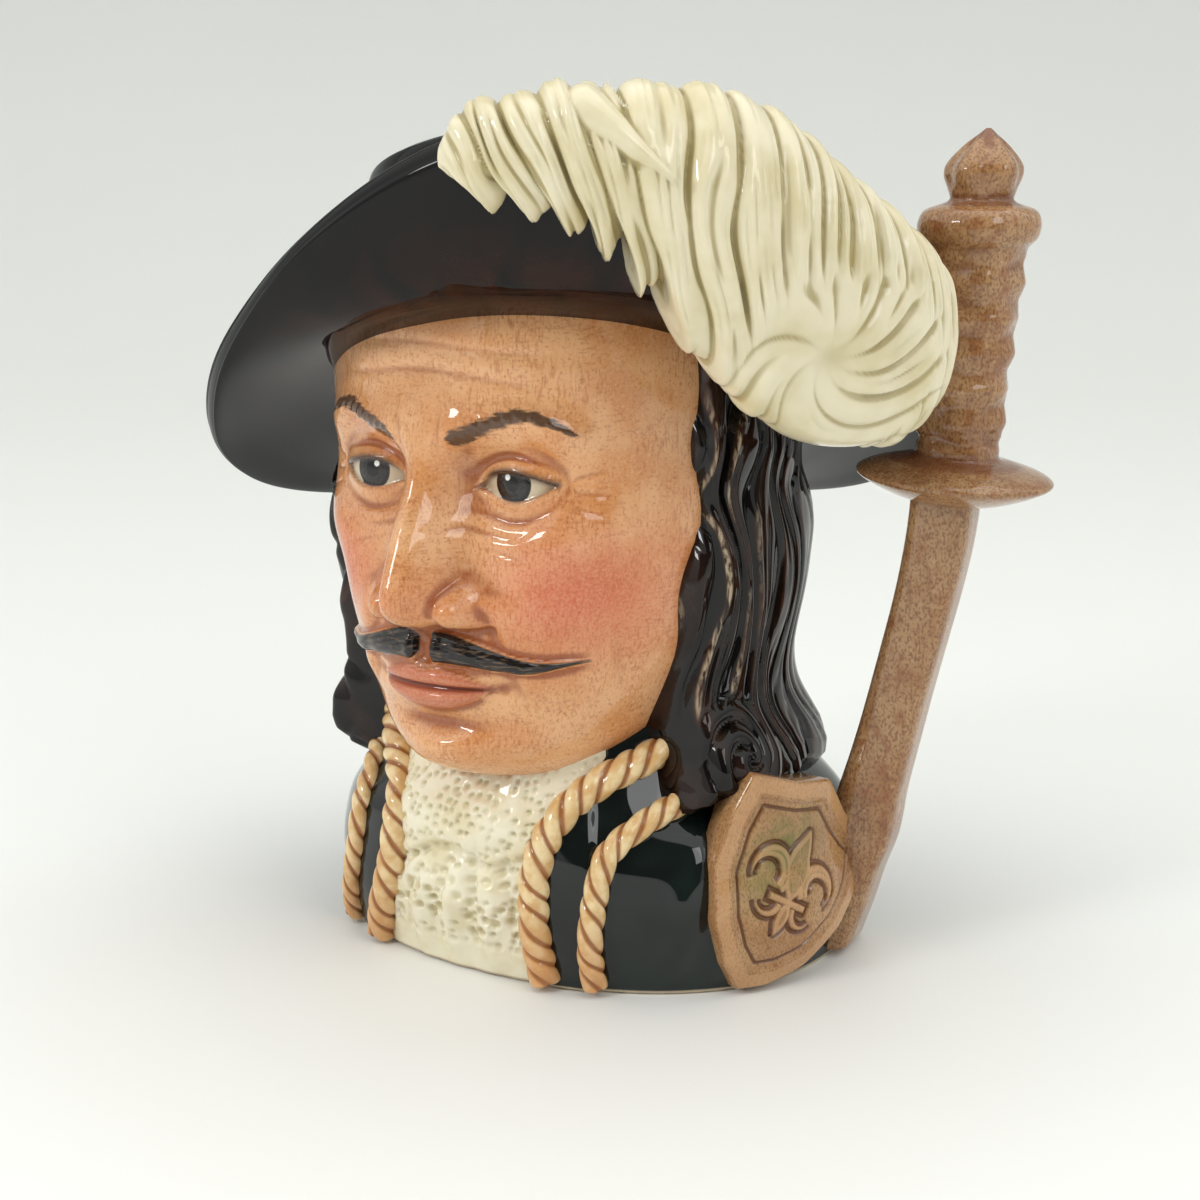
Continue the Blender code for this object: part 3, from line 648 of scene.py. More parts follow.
def bust(finish):
    """Coat and cravat: a recessed underside, out to the foot, up to the collar and back inside the wall."""
    front, behind = np.linspace(-60, 60, 330, endpoint=False), np.linspace(60, 300, 170, endpoint=False)
    turn = np.concatenate([front, behind])
    bearing = np.radians(turn)
    edge = 1.2
    rounded = edge * (1 - np.cos(np.linspace(0, math.pi / 2, 6)))
    height = np.concatenate([rounded, np.linspace(1.7, BUST_TOP, 136)])[:, None]
    relief, lace, pit = lace_relief(turn, height)
    foot = -edge * (1 - np.sqrt(np.clip(1 - (1 - height / edge) ** 2, 0, 1))) * (height < edge)
    folds = 0.5 * uneven(bust_point(bearing, height) * (1, 1, 0.35), 26, 2)
    folds = folds + 0.9 * hump(turn - 47 - height * 0.25, 3.5) * hump(height - 14, 20)
    folds = folds - 0.9 * hump(turn - 54 - height * 0.2, 3) * hump(height - 12, 20)
    folds = folds * ramp(height, 0, 6) * (1 - ramp(height, 40, 48))
    cloth = (lapel_relief(turn, height) + folds) * (1 - lace)
    outside = keep_out(bust_point(bearing, height, relief + cloth + foot))
    under = []
    for share, up in ((0.02, 1.4), (0.45, 1.4), (0.84, 1.4), (0.86, 1.25), (0.885, 0.15), (0.9, 0)):
        under.append(bust_point(bearing, 0 * bearing) * (share, share, 0) + (0, 0, up))
    inner = [wall_point(bearing, z + 0 * bearing, 2.4) for z in (56, 48, 40, 30, 20, 12)]
    inner += [wall_point(bearing, 12 + 0 * bearing, -2.5) * (share, share, 0) + (0, 0, FLOOR - 2.4)
              for share in (1, 0.5, 0.02)]
    points = np.concatenate([np.array(under), outside, np.array(inner)])
    grow = ((len(under), len(inner)), (0, 0))
    return piece("coat_and_cravat", points, finish, lace=np.pad(lace, grow), pit=np.pad(pit * lace, grow))


# The head

def lid_line(side, upper):
    """Height of the edge of an eyelid at a distance from the middle of the face."""
    t = np.clip((side - EYE_X + EYE_HALF) / (2 * EYE_HALF), 0, 1)
    middle = EYE_Z - 1.2 + 1.4 * t
    if upper:
        return middle + 3.2 * np.sin(np.pi * t**0.85)
    return middle - 2.9 * np.sin(np.pi * t**1.15)


def face_relief(x, z, plain_y):
    """How far the features stand forward of the plain head, and masks for the paint.

    The ball of each eye is part of a true sphere. Lids, lips, nose and folds are bell curves and smooth
    steps laid along short curves in the plane of the face.
    """
    side = np.abs(x)
    brow_z = 121 - 0.012 * (side - 16) ** 2
    skin = 2.9 * hump(z - brow_z, 4.6) * ramp(side, 1, 9) * (1 - ramp(side, 26, 37))
    for forward, place, width, level, tall in FLESH:
        skin += forward * hump(side - place, width) * hump(z - level, tall)
    skin += -6.4 * hump(side - 18, 12.5) * hump(z - 111.5, 9) * (1 - 0.42 * ramp(side, 20, 29))

    # Eyes: the ball, then a lid's thickness over it outside the opening
    centre_y = plain_y[1] + BALL_RADIUS + 1.6
    square = BALL_RADIUS**2 - (side - EYE_X) ** 2 - (z - EYE_Z) ** 2
    ball = plain_y[0] - (centre_y - np.sqrt(np.maximum(square, 0)))
    ball = np.where(square > 0, ball, -30)
    up, low = lid_line(side, True), lid_line(side, False)
    across = np.clip(1 - ((side - EYE_X) / (EYE_HALF + 2.5)) ** 2, 0, 1)
    fold = -0.9 * hump(z - up - 3.0, 0.8) + 0.9 * hump(z - up - 5.2, 2.0)
    fold = fold * across * (1 - 0.8 * ramp(side, 20, 27))
    bag = -0.5 * hump(z - low + 4.2, 0.8) * across * (1 - ramp(side, 17, 27))
    bag = bag - 0.45 * hump(z - low + 7.4 - 0.05 * (side - 14), 0.9) * hump(side - 13, 7)
    lids = higher(ball + 1.15, skin + 0.2, 2.2) + fold + bag + 0.35 * hump(z - up - 0.4, 0.7) * across
    inside = np.minimum(np.minimum(up - z, z - low), (EYE_HALF - np.abs(side - EYE_X)) * 0.8)
    skin = lids + (np.maximum(ball, skin - 1.2) - lids) * ramp(inside, -0.35, 0.35)
    skin += 0.5 * hump(side - EYE_X + EYE_HALF - 1.1, 0.9) * hump(z - EYE_Z + 1.2, 0.9)

    # Nose: a ridge to a round tip, wings and nostrils
    bridge = curve(z, NOSE_RIDGE) * np.exp(-(side / curve(z, NOSE_HALF)) ** 2.1)
    around = np.hypot((side - 8.6) / 4.6, (z - 84.8) / 4.7)
    wing = 8.6 * np.exp(-around**2.6) - 4 * ramp(around, 1.2, 2.4) - 9 * (1 - ramp(z, 79.2, 82))
    skin += higher(bridge, wing, 4.2)
    skin += -0.35 * hump(around - 1.45, 0.34) * ramp(side, 8, 11) * ramp(z, 80.5, 84)
    skin += -2.2 * hump(np.hypot((side - 4.6) / 2.2, (z - 80.8) / 1.0), 1)

    # Mouth and chin
    skin += 4.2 * hump(x, 17) * hump(z - 71, 11)
    part = MOUTH_Z + 0.25 * np.cos(np.clip(side / 5, 0, np.pi)) + 0.0025 * side**2
    level = np.clip(1 - (side / MOUTH_HALF) ** 2, 0, 1)
    top = part + 4.3 * level**0.9 - 0.8 * hump(side, 2.1) * (side < 9)
    bottom = part - 5.2 * np.clip(1 - (side / (MOUTH_HALF - 1.5)) ** 2, 0, 1) ** 0.8
    above = np.clip((z - part) / np.maximum(top - part, 0.3), 0, 1)
    under = np.clip((part - z) / np.maximum(part - bottom, 0.3), 0, 1)
    skin += 2.3 * np.sqrt(np.clip(above * (1 - above) * 4, 0, 1)) * level**0.5 * (z > part)
    skin += 3.1 * np.sqrt(np.clip(under * (1 - under) * 4, 0, 1)) * level**0.6 * (z < part)
    skin += 0.5 * hump(z - top - 0.5, 0.7) * level
    skin += -1.0 * hump(z - part, 0.8) * ramp(level, 0, 0.2)
    skin += -1.3 * hump(np.hypot(side - 15.4, z - part), 2.0)
    skin += -0.9 * hump(x, 2.0) * ramp(z, 71.5, 74) * (1 - ramp(z, 77, 80))
    skin += 0.45 * hump(side - 3.2, 1.2) * ramp(z, 71.5, 74) * (1 - ramp(z, 77, 80))
    skin += -2.4 * hump(x, 11) * hump(z - 59.3, 2.6) + 4.4 * hump(x, 11.5) * hump(z - 51.5, 6.5)

    # Folds from nose to mouth, and light lines beside the eyes and over the brow
    drop = np.clip((87 - z) / 21, 0, 1)
    fold_x = 12 + 6.6 * drop**0.8
    reach = ramp(z, 62, 70) * (1 - ramp(z, 85, 89)) * (1 - 0.9 * hump(z - 75, 4))
    skin += (-0.9 * hump(side - fold_x, 1.5) + 1.3 * hump(side - fold_x - 3.6, 3.0)) * reach
    skin += -0.4 * hump(z - 131 - 1.2 * np.cos(x / 9), 1.0) * (1 - ramp(side, 14, 26))
    skin += -0.35 * hump(z - 136.5 - 1.0 * np.cos(x / 11 + 0.5), 1.0) * (1 - ramp(side, 18, 30))
    skin += -0.6 * hump(side - 4.6 - 0.12 * (z - 118), 0.7) * hump(z - 119.5, 4.5)
    skin += -0.35 * hump(z - 96.5 + 0.28 * (side - 16), 0.8) * hump(side - 18, 6)
    skin += -0.7 * hump(side - 33 - 0.10 * (z - 74), 1.4) * hump(z - 72, 9)
    for rise, slope in ((1.5, 0.35), (-1.2, -0.1), (-3.6, -0.4)):
        line = EYE_Z + rise + slope * (side - 29)
        skin += -0.3 * hump(z - line, 0.55) * ramp(side, 28.5, 30) * (1 - ramp(side, 33, 36))

    # Moustache: two swept halves, brushed with strokes along them
    centre = 76.6 - 3.5 * ramp(side, 3, 24) + 0.8 * ramp(side, 22, 30)
    taper = (1 - 0.35 * ramp(side, 4, 18)) * (1 - 0.85 * ramp(side, 15, 30.5))
    half = 3.1 * ramp(side, 0.2, 3.0) * taper + 0.05
    whisker = np.minimum(half - np.abs(z - centre), np.minimum(side - 1.5, 30 - side))
    rounded = np.sqrt(np.clip(1 - ((z - centre) / (half + 0.3)) ** 2, 0, 1))
    rounded = rounded * ramp(side, 1.0, 3.0) * (1 - ramp(side, 27, 31))
    strands = 0.13 * np.sin((z - centre) * 4.6 + side * 0.7 + 1.4 * drift(side / 5, z / 3, 8))
    skin += 2.2 * rounded + strands * ramp(whisker, 0, 0.8)

    # Brows: raised brush strokes
    brow = np.clip(1 - np.abs(z - curve(side, BROW_MIDDLE)) / (curve(side, BROW_HALF) * 1.5), 0, 1)
    brow = brow * ramp(side, 5.5, 8) * (1 - ramp(side, 29, 33))
    skin += 0.45 * brow * (1 + 0.5 * np.sin(side * 2.6 + z * 1.8))

    lips = np.minimum(np.minimum(top - z, z - bottom), MOUTH_HALF - side)
    lipline = hump(z - part, 0.42) * (1 - ramp(side, MOUTH_HALF - 1, MOUTH_HALF + 1.5))
    start, end = EYE_X - EYE_HALF, EYE_X + EYE_HALF
    # The upper eyelash line, made wide as painted shade along the lid's edge.
    lash_and_lid_shade = hump(z - up - 0.2, 0.8) * ramp(side, start, EYE_X - 4) * (1 - ramp(side, end, end + 1))
    lower = 0.45 * hump(z - low + 0.1, 0.35) * ramp(side, EYE_X - 4, EYE_X + 3) * (side < end)
    lash_and_lid_shade = np.maximum(lash_and_lid_shade, lower)
    rosy = hump(np.hypot((side - 29) / 14, (z - 88) / 12), 1)
    rosy = rosy + 0.3 * hump(np.hypot(side / 7, (z - 87) / 5), 1)
    masks = dict(lips=lips, lipline=lipline, lash_and_lid_shade=lash_and_lid_shade, rosy=rosy, eye=inside, brow=brow, whisker=whisker)
    return skin, masks


def skull(bearing, height):
    """Radius of the plain head."""
    return blunt_oval(bearing, curve(height, HEAD_HALF_WIDTH), curve(height, HEAD_HALF_DEPTH), 2.25)


def head(finish):
    """The face and skull, from under the chin to inside the hat, then back down within the wall."""
    bearing = np.concatenate([np.linspace(-1.42, 1.42, 284), np.linspace(1.55, 4.73, 22)])
    bands = ((42, 45, 10), (45, 52, 20), (52, 128, 158))
    row = [np.linspace(*band, endpoint=False) for band in bands] + [np.linspace(128, 149, 28)]
    row = np.concatenate(row)[:, None]
    radius = skull(bearing, row) * (1 - 0.12 * ramp(-np.cos(bearing), 0, 0.6))
    radius = radius - 5.5 * ramp(row - hat_line(bearing)[1], 3, 8)
    radius = radius + np.maximum(41 - radius, 0) * ramp(-np.cos(bearing), -0.45, -0.15)
    x, y = radius * np.sin(bearing), HEAD_Y - radius * np.cos(bearing)
    column = np.abs(bearing - math.asin(EYE_X / 50)).argmin()
    eye_y = y[np.abs(row[:, 0] - EYE_Z).argmin(), column]
    relief, masks = face_relief(x, row + 0 * x, (y, eye_y))
    front = ramp(np.cos(bearing), 0, 0.35)
    forward = relief * front
    # How deep each place of the face lies in a hollow: where brown pools and shade is painted.
    crease = hollow(forward, 4) * front
    points = shell(stack(x, y - forward, row + 0 * x), bearing)
    grow = ((0, len(points) - len(row)), (0, 0))
    for name, values in masks.items():
        masks[name] = np.pad(np.broadcast_to(values, x.shape), grow, "edge")
    return piece("head", points, finish, "joined", crease=np.pad(crease, grow), **masks)


def hair(finish):
    """Long hair from one cheek round the back to the other: rounded locks with sharp grooves between.

    The locks swell and shrink in turn as they sway down, which makes loops of them. A raised strand runs
    beside some grooves. At each shoulder they end in a curl, a two-armed spiral about its eye.
    """
    start, end = HAIR_START - 3, HAIR_END + 3
    turn = [np.linspace(*side, endpoint=False) for side in ((start, 118, 210), (118, 262, 114))]
    turn = np.concatenate(turn + [np.linspace(262, end, 90), np.linspace(end + 3, 418, 24)])
    share = np.concatenate([np.linspace(0, 0.07, 22, endpoint=False), np.linspace(0.07, 1, 178)])[:, None]
    angle = np.radians(turn)
    ends = 37 + 2 * np.cos(angle * 10)
    top = hat_line(angle)[1] + 5
    height = ends + share * (top - ends)
    curl = np.interp(share, (0, 0.012, 0.03, 0.06, 0.10, 0.15, 0.8, 0.97), (15, 9, 5.2, 2.4, 0.8, 0, 0, 1.5))
    back = 8 * ramp(turn, 85, 172) * (1 - 0.8 * ramp(turn, 230, 285)) + 3.5 * ramp(turn, 240, 285)
    plain = higher(curve(height, HAIR_RADIUS) + back, (skull(angle, height) + 3.6) * ramp(height, 44, 72), 2)
    sway = np.sin((height - 71.5) / 7.8) * (1 - ramp(height, 104, 120))
    far = ramp(turn, 84, 104) * (1 - ramp(turn, 291, 299))
    plain = plain + sway * (0.6 + 1.2 * far) + 1.8 * hump(height - 48, 8) * hump(turn - 76, 14)
    plain = plain - (1.6 + 4.0 * hump(height - 38, 12)) * ramp(turn, 250, 284)
    wave = turn - 3.0 * sway - 2 * drift(height / 30, turn / 40, 2)
    main = (wave - 59) / 8.6 + 0.24 * np.sin(height / 8.2 + wave / 3.9)
    main = main + 0.3 * drift(height / 19, wave / 11, 4)
    lobe = np.abs(np.sin(math.pi * main))
    thin_cut = parted(main * 3 + 0.4 * np.sin(height / 11 + wave / 3), height / 34, 6)
    strength = 0.34 + 0.66 * (hump(turn - 74, 16) + 1.5 * hump(turn - 286, 20)) + 0.2 * hump(turn - 180, 60)
    behind = ramp(turn, 104, 122) * (1 - ramp(turn, 254, 270))
    relief = 2.3 * lobe**0.55 - 2.4 + 0.8 * (thin_cut + (0.8 - thin_cut) * behind)
    relief = relief * strength * ramp(turn, start, HAIR_START + 4)
    strand = hump(np.abs(main - np.floor(main) - 0.24), 0.11) * ramp(drift(wave / 5, height / 18, 8), -0.5, 0)
    relief = relief + 0.6 * strand * strength * (1 - behind)
    for curl_turn, curl_height, way in ((78, 51.5, 1), (286, 50, -1)):
        dx, dz = (turn - curl_turn) * 0.95, height - curl_height
        away = np.hypot(dx, dz)
        spiral = np.abs(np.sin(math.pi * (away / 4.6 - way * np.arctan2(dz, dx) / math.pi)))
        near = 1 - ramp(away, 9, 14)
        relief = relief * (1 - near) + (1.9 * spiral**0.6 - 1.4 + 1.6 * hump(away, 8)) * near
        strand = strand * (1 - near)
    lap = 1.5 * sway + 1.1 * np.sin(height / 4.3)
    edges = ramp(turn + lap, start, HAIR_START + 6) * (1 - ramp(turn, HAIR_END - 6, end))
    radius = 33 + (plain + relief - 33) * edges**0.6 - curl
    radius = np.where(share > 0.995, 30, radius)
    points = shell(around(radius, angle, height, HEAD_Y), angle)
    # Where the painted highlight lies: the ridges beside the face.
    streak = hump(turn - 74, 10) * ramp(height, 46, 56) * (1 - ramp(height, 120, 130))
    grow = ((0, len(points) - len(share)), (0, 0))
    ridge = np.maximum(strand, 0.5 * lobe)
    return piece("hair", points, finish, "joined", ridge=np.pad(ridge, grow), streak=np.pad(streak, grow))


# The hat and its plume

def hat_line(bearing):
    """Where the hat meets the head: radius and height."""
    radius = blunt_oval(bearing, 49, 52, 2.2)
    return radius, HAT_LINE_MIDDLE + HAT_LINE_TILT * np.cos(bearing - math.radians(HAT_LINE_PEAK))


def hat(finish):
    """Brim and crown: a profile of rings that runs under the brim, over its edge, up the crown, round the
    rim and back down within the wall. A low band rings the crown."""
    bearing = np.linspace(0, 2 * math.pi, 240, endpoint=False)
    line_r, line_z = hat_line(bearing)
    peak = (1 + np.cos(bearing - math.radians(HAT_PEAK))) / 2
    reach, rise = BRIM_REACH - line_r, BRIM_EDGE_LOW + BRIM_EDGE_RISE * peak**2 - line_z
    length = np.hypot(reach, rise)

    def across(share, lift):
        """A place across the brim, lifted through its thickness; the brim curls up towards its edge."""
        bowl, thick = (0.2 + 0.6 * peak) * share * (1 - share), lift * BRIM_THICKNESS / length
        return line_r + reach * (share + bowl) - rise * thick, line_z + rise * (share - bowl) + reach * thick

    rim_z = rim_height(bearing)
    rows = [((line_r - 4) * 0.9, line_z - 3)]
    rows += [across(share, 0) for share in (0.0, 0.33, 0.66, 0.95)]
    rows += [across(1.005, 0.16), across(1.025, 0.5), across(1.005, 0.84)]
    rows += [across(share, 1) for share in (0.95, 0.55, 0.15)]
    base_r, base_z = rows[-1]
    for share in (0.2, 0.55, 0.93):
        rows.append((base_r + (RIM_RADIUS - base_r) * (0.4 + 0.6 * share), base_z + (rim_z - base_z) * share))
    for inset, drop in ((0.9, 0.5), (2.7, 0), (4.6, 0.7), (5.6, 2.6)):
        rows.append((RIM_RADIUS - inset, rim_z - drop))
    radius, height = (np.array([row[k] + 0 * bearing for row in rows]) for k in (0, 1))
    points = refine(around(radius, bearing, height, CROWN_Y), HAT_STEPS)
    level = np.linspace(0, len(rows) - 1, len(points))[:, None]
    out = points - (0, CROWN_Y, 0)
    out[..., 2] = 0
    out /= np.linalg.norm(out, axis=-1)[..., None]
    band = 1.1 * ramp(level, 10.6, 10.9) * (1 - ramp(level, 11.5, 11.8))
    moulded = 0.22 * uneven(points, 34, 1) * ramp(level, 1, 2) * (1 - ramp(level, 12, 13))
    points = points + out * (band + moulded)[..., None]
    inner = [wall_point(bearing, rim_z - 4.2, -0.05), wall_point(bearing, rim_z - 6, 1.2)]
    inner += [wall_point(bearing, line_z + 12, 1.2), wall_point(bearing, line_z - 3, 1.2)]
    under = 8 * HAT_STEPS
    points = np.concatenate([keep_out(points[:under]), points[under:], np.array(inner)])
    turn = np.degrees(bearing)
    # Painted reflection of the face: where the brim's underside faces the forehead.
    thin = hump(level - 1.6, 1.2) * (hump(turn - 5, 55) + hump(turn - 365, 55))
    grow = ((0, len(points) - len(level)), (0, 0))
    return piece("hat", points, finish, "joined", thin=np.pad(thin, grow))


def plume(finish):
    """An ostrich feather on the brim's raised side: ovals along it, ridged by clumps of barbs.

    Locks of barbs, parted by finer cuts, bend down it in an S on the left and in the middle, and wind about
    the eye of the curl at its end. One pointed lock lies across the rest. The low edge ends in the tips.
    """
    turn = np.linspace(17, 104, 390)[:, None]
    halves = ((0, math.pi, 136), (math.pi, 2 * math.pi, 24))
    ring = np.concatenate([np.linspace(*half, endpoint=False) for half in halves])
    thick, half = curve(turn, PLUME_THICK), curve(turn, PLUME_HALF)
    reach, middle = curve(turn, PLUME_REACH), curve(turn, PLUME_MIDDLE)
    angle = np.radians(turn)
    along = angle * PLUME_ARC
    down = half * np.cos(ring)
    level = middle + down
    left = 1 - ramp(turn, 30, 54)
    bend = 0.40 * left * down - (1 - left) * (0.10 * down + 0.0085 * (down - 9) ** 2 * (down < 9))
    line = along + bend + 2.8 * drift(along / 15, 0.3 + level / 60, 1) + 0.9 * drift(along / 7, level / 16, 2)
    share = line / PLUME_LOCK
    lock = np.floor(share)
    lobe = np.sin(math.pi * (share - lock) ** 0.8) ** 0.6 * (0.65 + 0.35 * scatter(lock, 2, 8))
    fine = line + 1.3 * drift(along / 9, level / 20, 5)
    cuts = 1.3 * parted(fine / 3.1, level / 30, 3) + 0.5 * parted(fine / 1.35, level / 16, 5)
    straight = 2.6 * lobe + cuts * (1 - 0.55 * ramp(np.cos(ring), 0.55, 1))
    dx, dz = along - CURL_ALONG, level - CURL_LEVEL
    distance = np.hypot(dx, dz)
    way = np.arctan2(dz, dx)
    whole = way / (2 * math.pi) - (0.02 + 0.20 * (1 - np.sin(way))) * (distance / 25) ** 1.15
    swirl = 0.9 + (1.5 * np.abs(np.sin(math.pi * whole * 8)) ** 0.7 - 0.9) * ramp(distance, 2, 12)
    swirl = swirl + 1.2 + 1.3 * (parted(whole * 17, distance / 30, 7, 17) - 0.9) * ramp(distance, 6, 15)
    curl = 1 - ramp(distance - 10 * hump(way + 0.4, 1.2), 13, 21)
    relief = straight * (1 - curl) + (swirl + 0.2) * curl - 3.4
    relief = relief - 1.7 * hump(distance, 5.5) + 1.0 * hump(distance - 13, 6) * hump(dz + 11, 9)
    relief = relief + 0.9 * np.abs(np.sin(line * math.pi / 19)) * ramp(np.cos(ring), 0.1, 0.9)
    from_root, fallen, ahead, drop = along - 48, 183 - level, 14.2, 14
    run = np.clip((from_root * ahead + fallen * drop) / (ahead**2 + drop**2), 0, 1)
    off = np.hypot(from_root - ahead * run, drop * run - fallen) / (4.4 * (1 - run) ** 0.7 + 0.3)
    relief = np.maximum(relief, (1.5 - 3.4 * off**2) * ramp(1.3 - off, 0, 0.3) - 4 * (off > 1.25))
    tip = np.abs(2 * (share - lock) - 1) * (0.25 + 1.1 * scatter(lock, 3, 4))
    low_edge = ramp(-np.cos(ring), 0.2, 1) * (1 - ramp(turn, 38, 58))
    fade = ramp(half, 2, 9)
    height = middle + down * (1 - 0.44 * tip * low_edge) + relief * fade * np.cos(ring)
    radius = reach + (thick + relief * fade) * np.sin(ring)
    return piece("plume", around(radius, angle, height, HEAD_Y), finish, groove=hollow(relief, 5) * fade)


# Cords, shield and sword

def rope(name, finish):
    """A cord of three twisted strands laid along its points on the coat: a three-lobed section that turns."""
    path = ROPES[name]
    share = np.linspace(0, 1, len(path))
    along = np.linspace(0, 1, 260)[:, None]
    bearing = np.radians(curve(along, list(zip(share, [b for b, _ in path]))))
    height = curve(along, list(zip(share, [z for _, z in path])))
    centre = bust_point(bearing, height, 1.35)[:, 0]
    forward = np.gradient(centre, axis=0)
    forward /= np.linalg.norm(forward, axis=1)[:, None]
    out = bust_point(bearing, height, 2)[:, 0] - bust_point(bearing, height, 0)[:, 0]
    aside = np.cross(forward, out)
    aside /= np.linalg.norm(aside, axis=1)[:, None]
    out = np.cross(aside, forward)
    turn = np.linspace(0, 2 * math.pi, 42, endpoint=False)
    travelled = np.cumsum(np.linalg.norm(np.diff(centre, axis=0, prepend=centre[:1]), axis=1))[:, None]
    diameter = ROPE_DIAMETERS[name.split("_")[-1]]
    twist = travelled * 0.40 - 0.2 * np.sin(travelled * 0.5)
    strand = np.abs(np.cos(1.5 * (turn - twist)))
    radius = diameter / 2 * (0.82 + 0.32 * strand**0.6)
    groove = (1 - strand) ** 2 * 1.3
    points = centre[:, None] + radius[..., None] * (
        np.cos(turn)[:, None] * aside[:, None] + np.sin(turn)[:, None] * out[:, None])
    points[..., 2] = np.maximum(points[..., 2], 0.2)
    return piece(name, points, finish, groove=groove)


def lily(p, q):
    """Distance in millimetres outside a lily of three petals over a bar, about (0, 0), negative inside.

    The middle petal and the foot are pointed ovals. Side petals and tails are arcs that narrow to their tips.
    """
    side = np.abs(p)
    share = np.clip((q + 3.2) / 16.5, 0, 1)
    middle = np.where((q > -3.2) & (q < 13.3), side - 3.7 * np.sin(math.pi * share**0.85) ** 0.9, 3)
    turned = np.arctan2(q - 1.2, side - 6.9)
    turned = np.where(turned < -math.pi / 2, turned + 2 * math.pi, turned)
    petal = np.abs(np.hypot(side - 6.9, q - 1.2) - 4.3) - (0.35 + 1.3 * ramp(turned, -0.7, 1.6))
    petal = np.where((turned > -0.7) & (turned < 3.75), petal, 3)
    curled = np.arctan2(q + 4.4, side - 4.9)
    tail = np.abs(np.hypot(side - 4.9, q + 4.4) - 3.0) - 0.5 - 0.45 * ramp(-curled, 0.4, 2.6)
    tail = np.where(curled < -0.4, tail, 3)
    bar = np.maximum(side - 5.2, np.abs(q + 3.4) - 1.0)
    foot = side - 1.9 * np.sin(math.pi * np.clip((-q - 3) / 8.5, 0, 1) ** 0.8)
    foot = np.where((q > -11.5) & (q < -3), foot, 3)
    return np.minimum(np.minimum(np.minimum(middle, petal), np.minimum(bar, foot)), tail)


def shield(finish):
    """A peaked shield bent round the shoulder: rings from its back over the rim to its middle.

    The border stands up, a line is cut inside it, and a lily is raised on the field.
    """
    half = [(0, 0.5), (0.22, 0.42), (0.5, 0.36), (0.5, 0.18), (0.44, -0.06), (0.3, -0.29), (0.14, -0.43)]
    half.append((0, -0.5))
    corners = np.array(half + [(-p, q) for p, q in half[-2:0:-1]])
    corners = np.concatenate([corners, corners[:1]])
    place = np.linspace(0, len(corners) - 1, 337)[:-1]
    outline = np.stack([np.interp(place, np.arange(len(corners)), corners[:, k]) for k in (0, 1)], axis=-1)
    for _ in range(2):
        outline = (np.roll(outline, 1, axis=0) + 2 * outline + np.roll(outline, -1, axis=0)) / 4
    inset = 1 - 2 * SHIELD_BORDER / SHIELD_WIDTH
    share = [(0.3, 0.8, 1.0, 1.0), 1.0 - 0.012 * np.array((0, 0.3, 1)), np.linspace(0.975, 0.01, 84)]
    share = np.concatenate(share)[:, None]
    lift = np.concatenate([(-4, -4, -4, 0), (2.2, 2.7, 3.0), np.full(84, 3.2)])[:, None]
    rise = 1 - ramp(share, inset - 0.02, inset + 0.03)
    cut = hump(share - inset + 0.075, 0.018)
    p, q = outline[:, 0] * SHIELD_WIDTH * share, outline[:, 1] * SHIELD_HEIGHT * share
    away = lily(p, q)
    figure = 1 - ramp(away, -0.5, 0.25)
    edge = hump(away + 0.9, 0.6)
    front = share < 0.98
    field = -0.5 * rise - 0.7 * cut + (0.25 * figure - 0.75 * hump(away - 0.3, 0.55)) * (share < inset - 0.1)
    lift = lift + (field + 0.06 * drift(p / 2.5, q / 2.5, 7)) * (np.arange(len(share)) > 6)[:, None]
    tip = math.radians(SHIELD_LEAN)
    along, up = p * math.cos(tip) + q * math.sin(tip), q * math.cos(tip) - p * math.sin(tip)
    height = SHIELD_Z + up
    points = bust_point(np.radians(SHIELD_BEARING + along / 1.09), np.minimum(height, 27), lift)
    points[..., 2] = height
    groove = (cut + hump(away - 0.3, 0.6) * (share < inset - 0.1) + 0.3 * hump(share - inset, 0.02)) * front
    raised = (edge * (share < inset - 0.1) + ramp(share, inset + 0.03, inset + 0.06)) * front
    olive = hump(np.hypot((p + 6) / 9, (q - 5) / 12), 1) * (share < inset)
    return piece("shield", points, finish, groove=groove, raised=raised, olive=olive)


def handle_point(u, v, height):
    """A point of the handle: u out from the jug's middle, v across, at a height."""
    a = math.radians(HANDLE_BEARING)
    return stack(u * math.sin(a) + v * math.cos(a), v * math.sin(a) - u * math.cos(a), height)


def blade(finish):
    """The sword's blade: a bar with round corners that rises from the foot and leans out to the guard."""
    height = np.linspace(2, GUARD_Z, 190)[:, None]
    lean = curve(height, ((2, -28), (10, -25), (18, -22.4), (26, -19.1), (38, -16.3), (48, -13.8), (70, -8.5),
                          (98, -3), (GUARD_Z, -2.4)))
    swell = curve(height, ((2, 1.3), (18, 1.2), (40, 1.02), (GUARD_Z, 1)))
    turn = np.linspace(0, 2 * math.pi, 72, endpoint=False)
    radius = blunt_oval(turn, 0.5, 0.5, 4.5)
    u = BLADE_THICKNESS * radius * np.cos(turn) * swell + HANDLE_REACH - 1.4 + lean
    v = BLADE_WIDTH * radius * np.sin(turn) * swell
    lump = 0.10 * uneven(handle_point(u, v, height), 24, 3)
    points = handle_point(u + lump * np.cos(turn), v + lump * np.sin(turn), height)
    return piece("blade", keep_out(points), finish, groove=hollow(lump, 4))


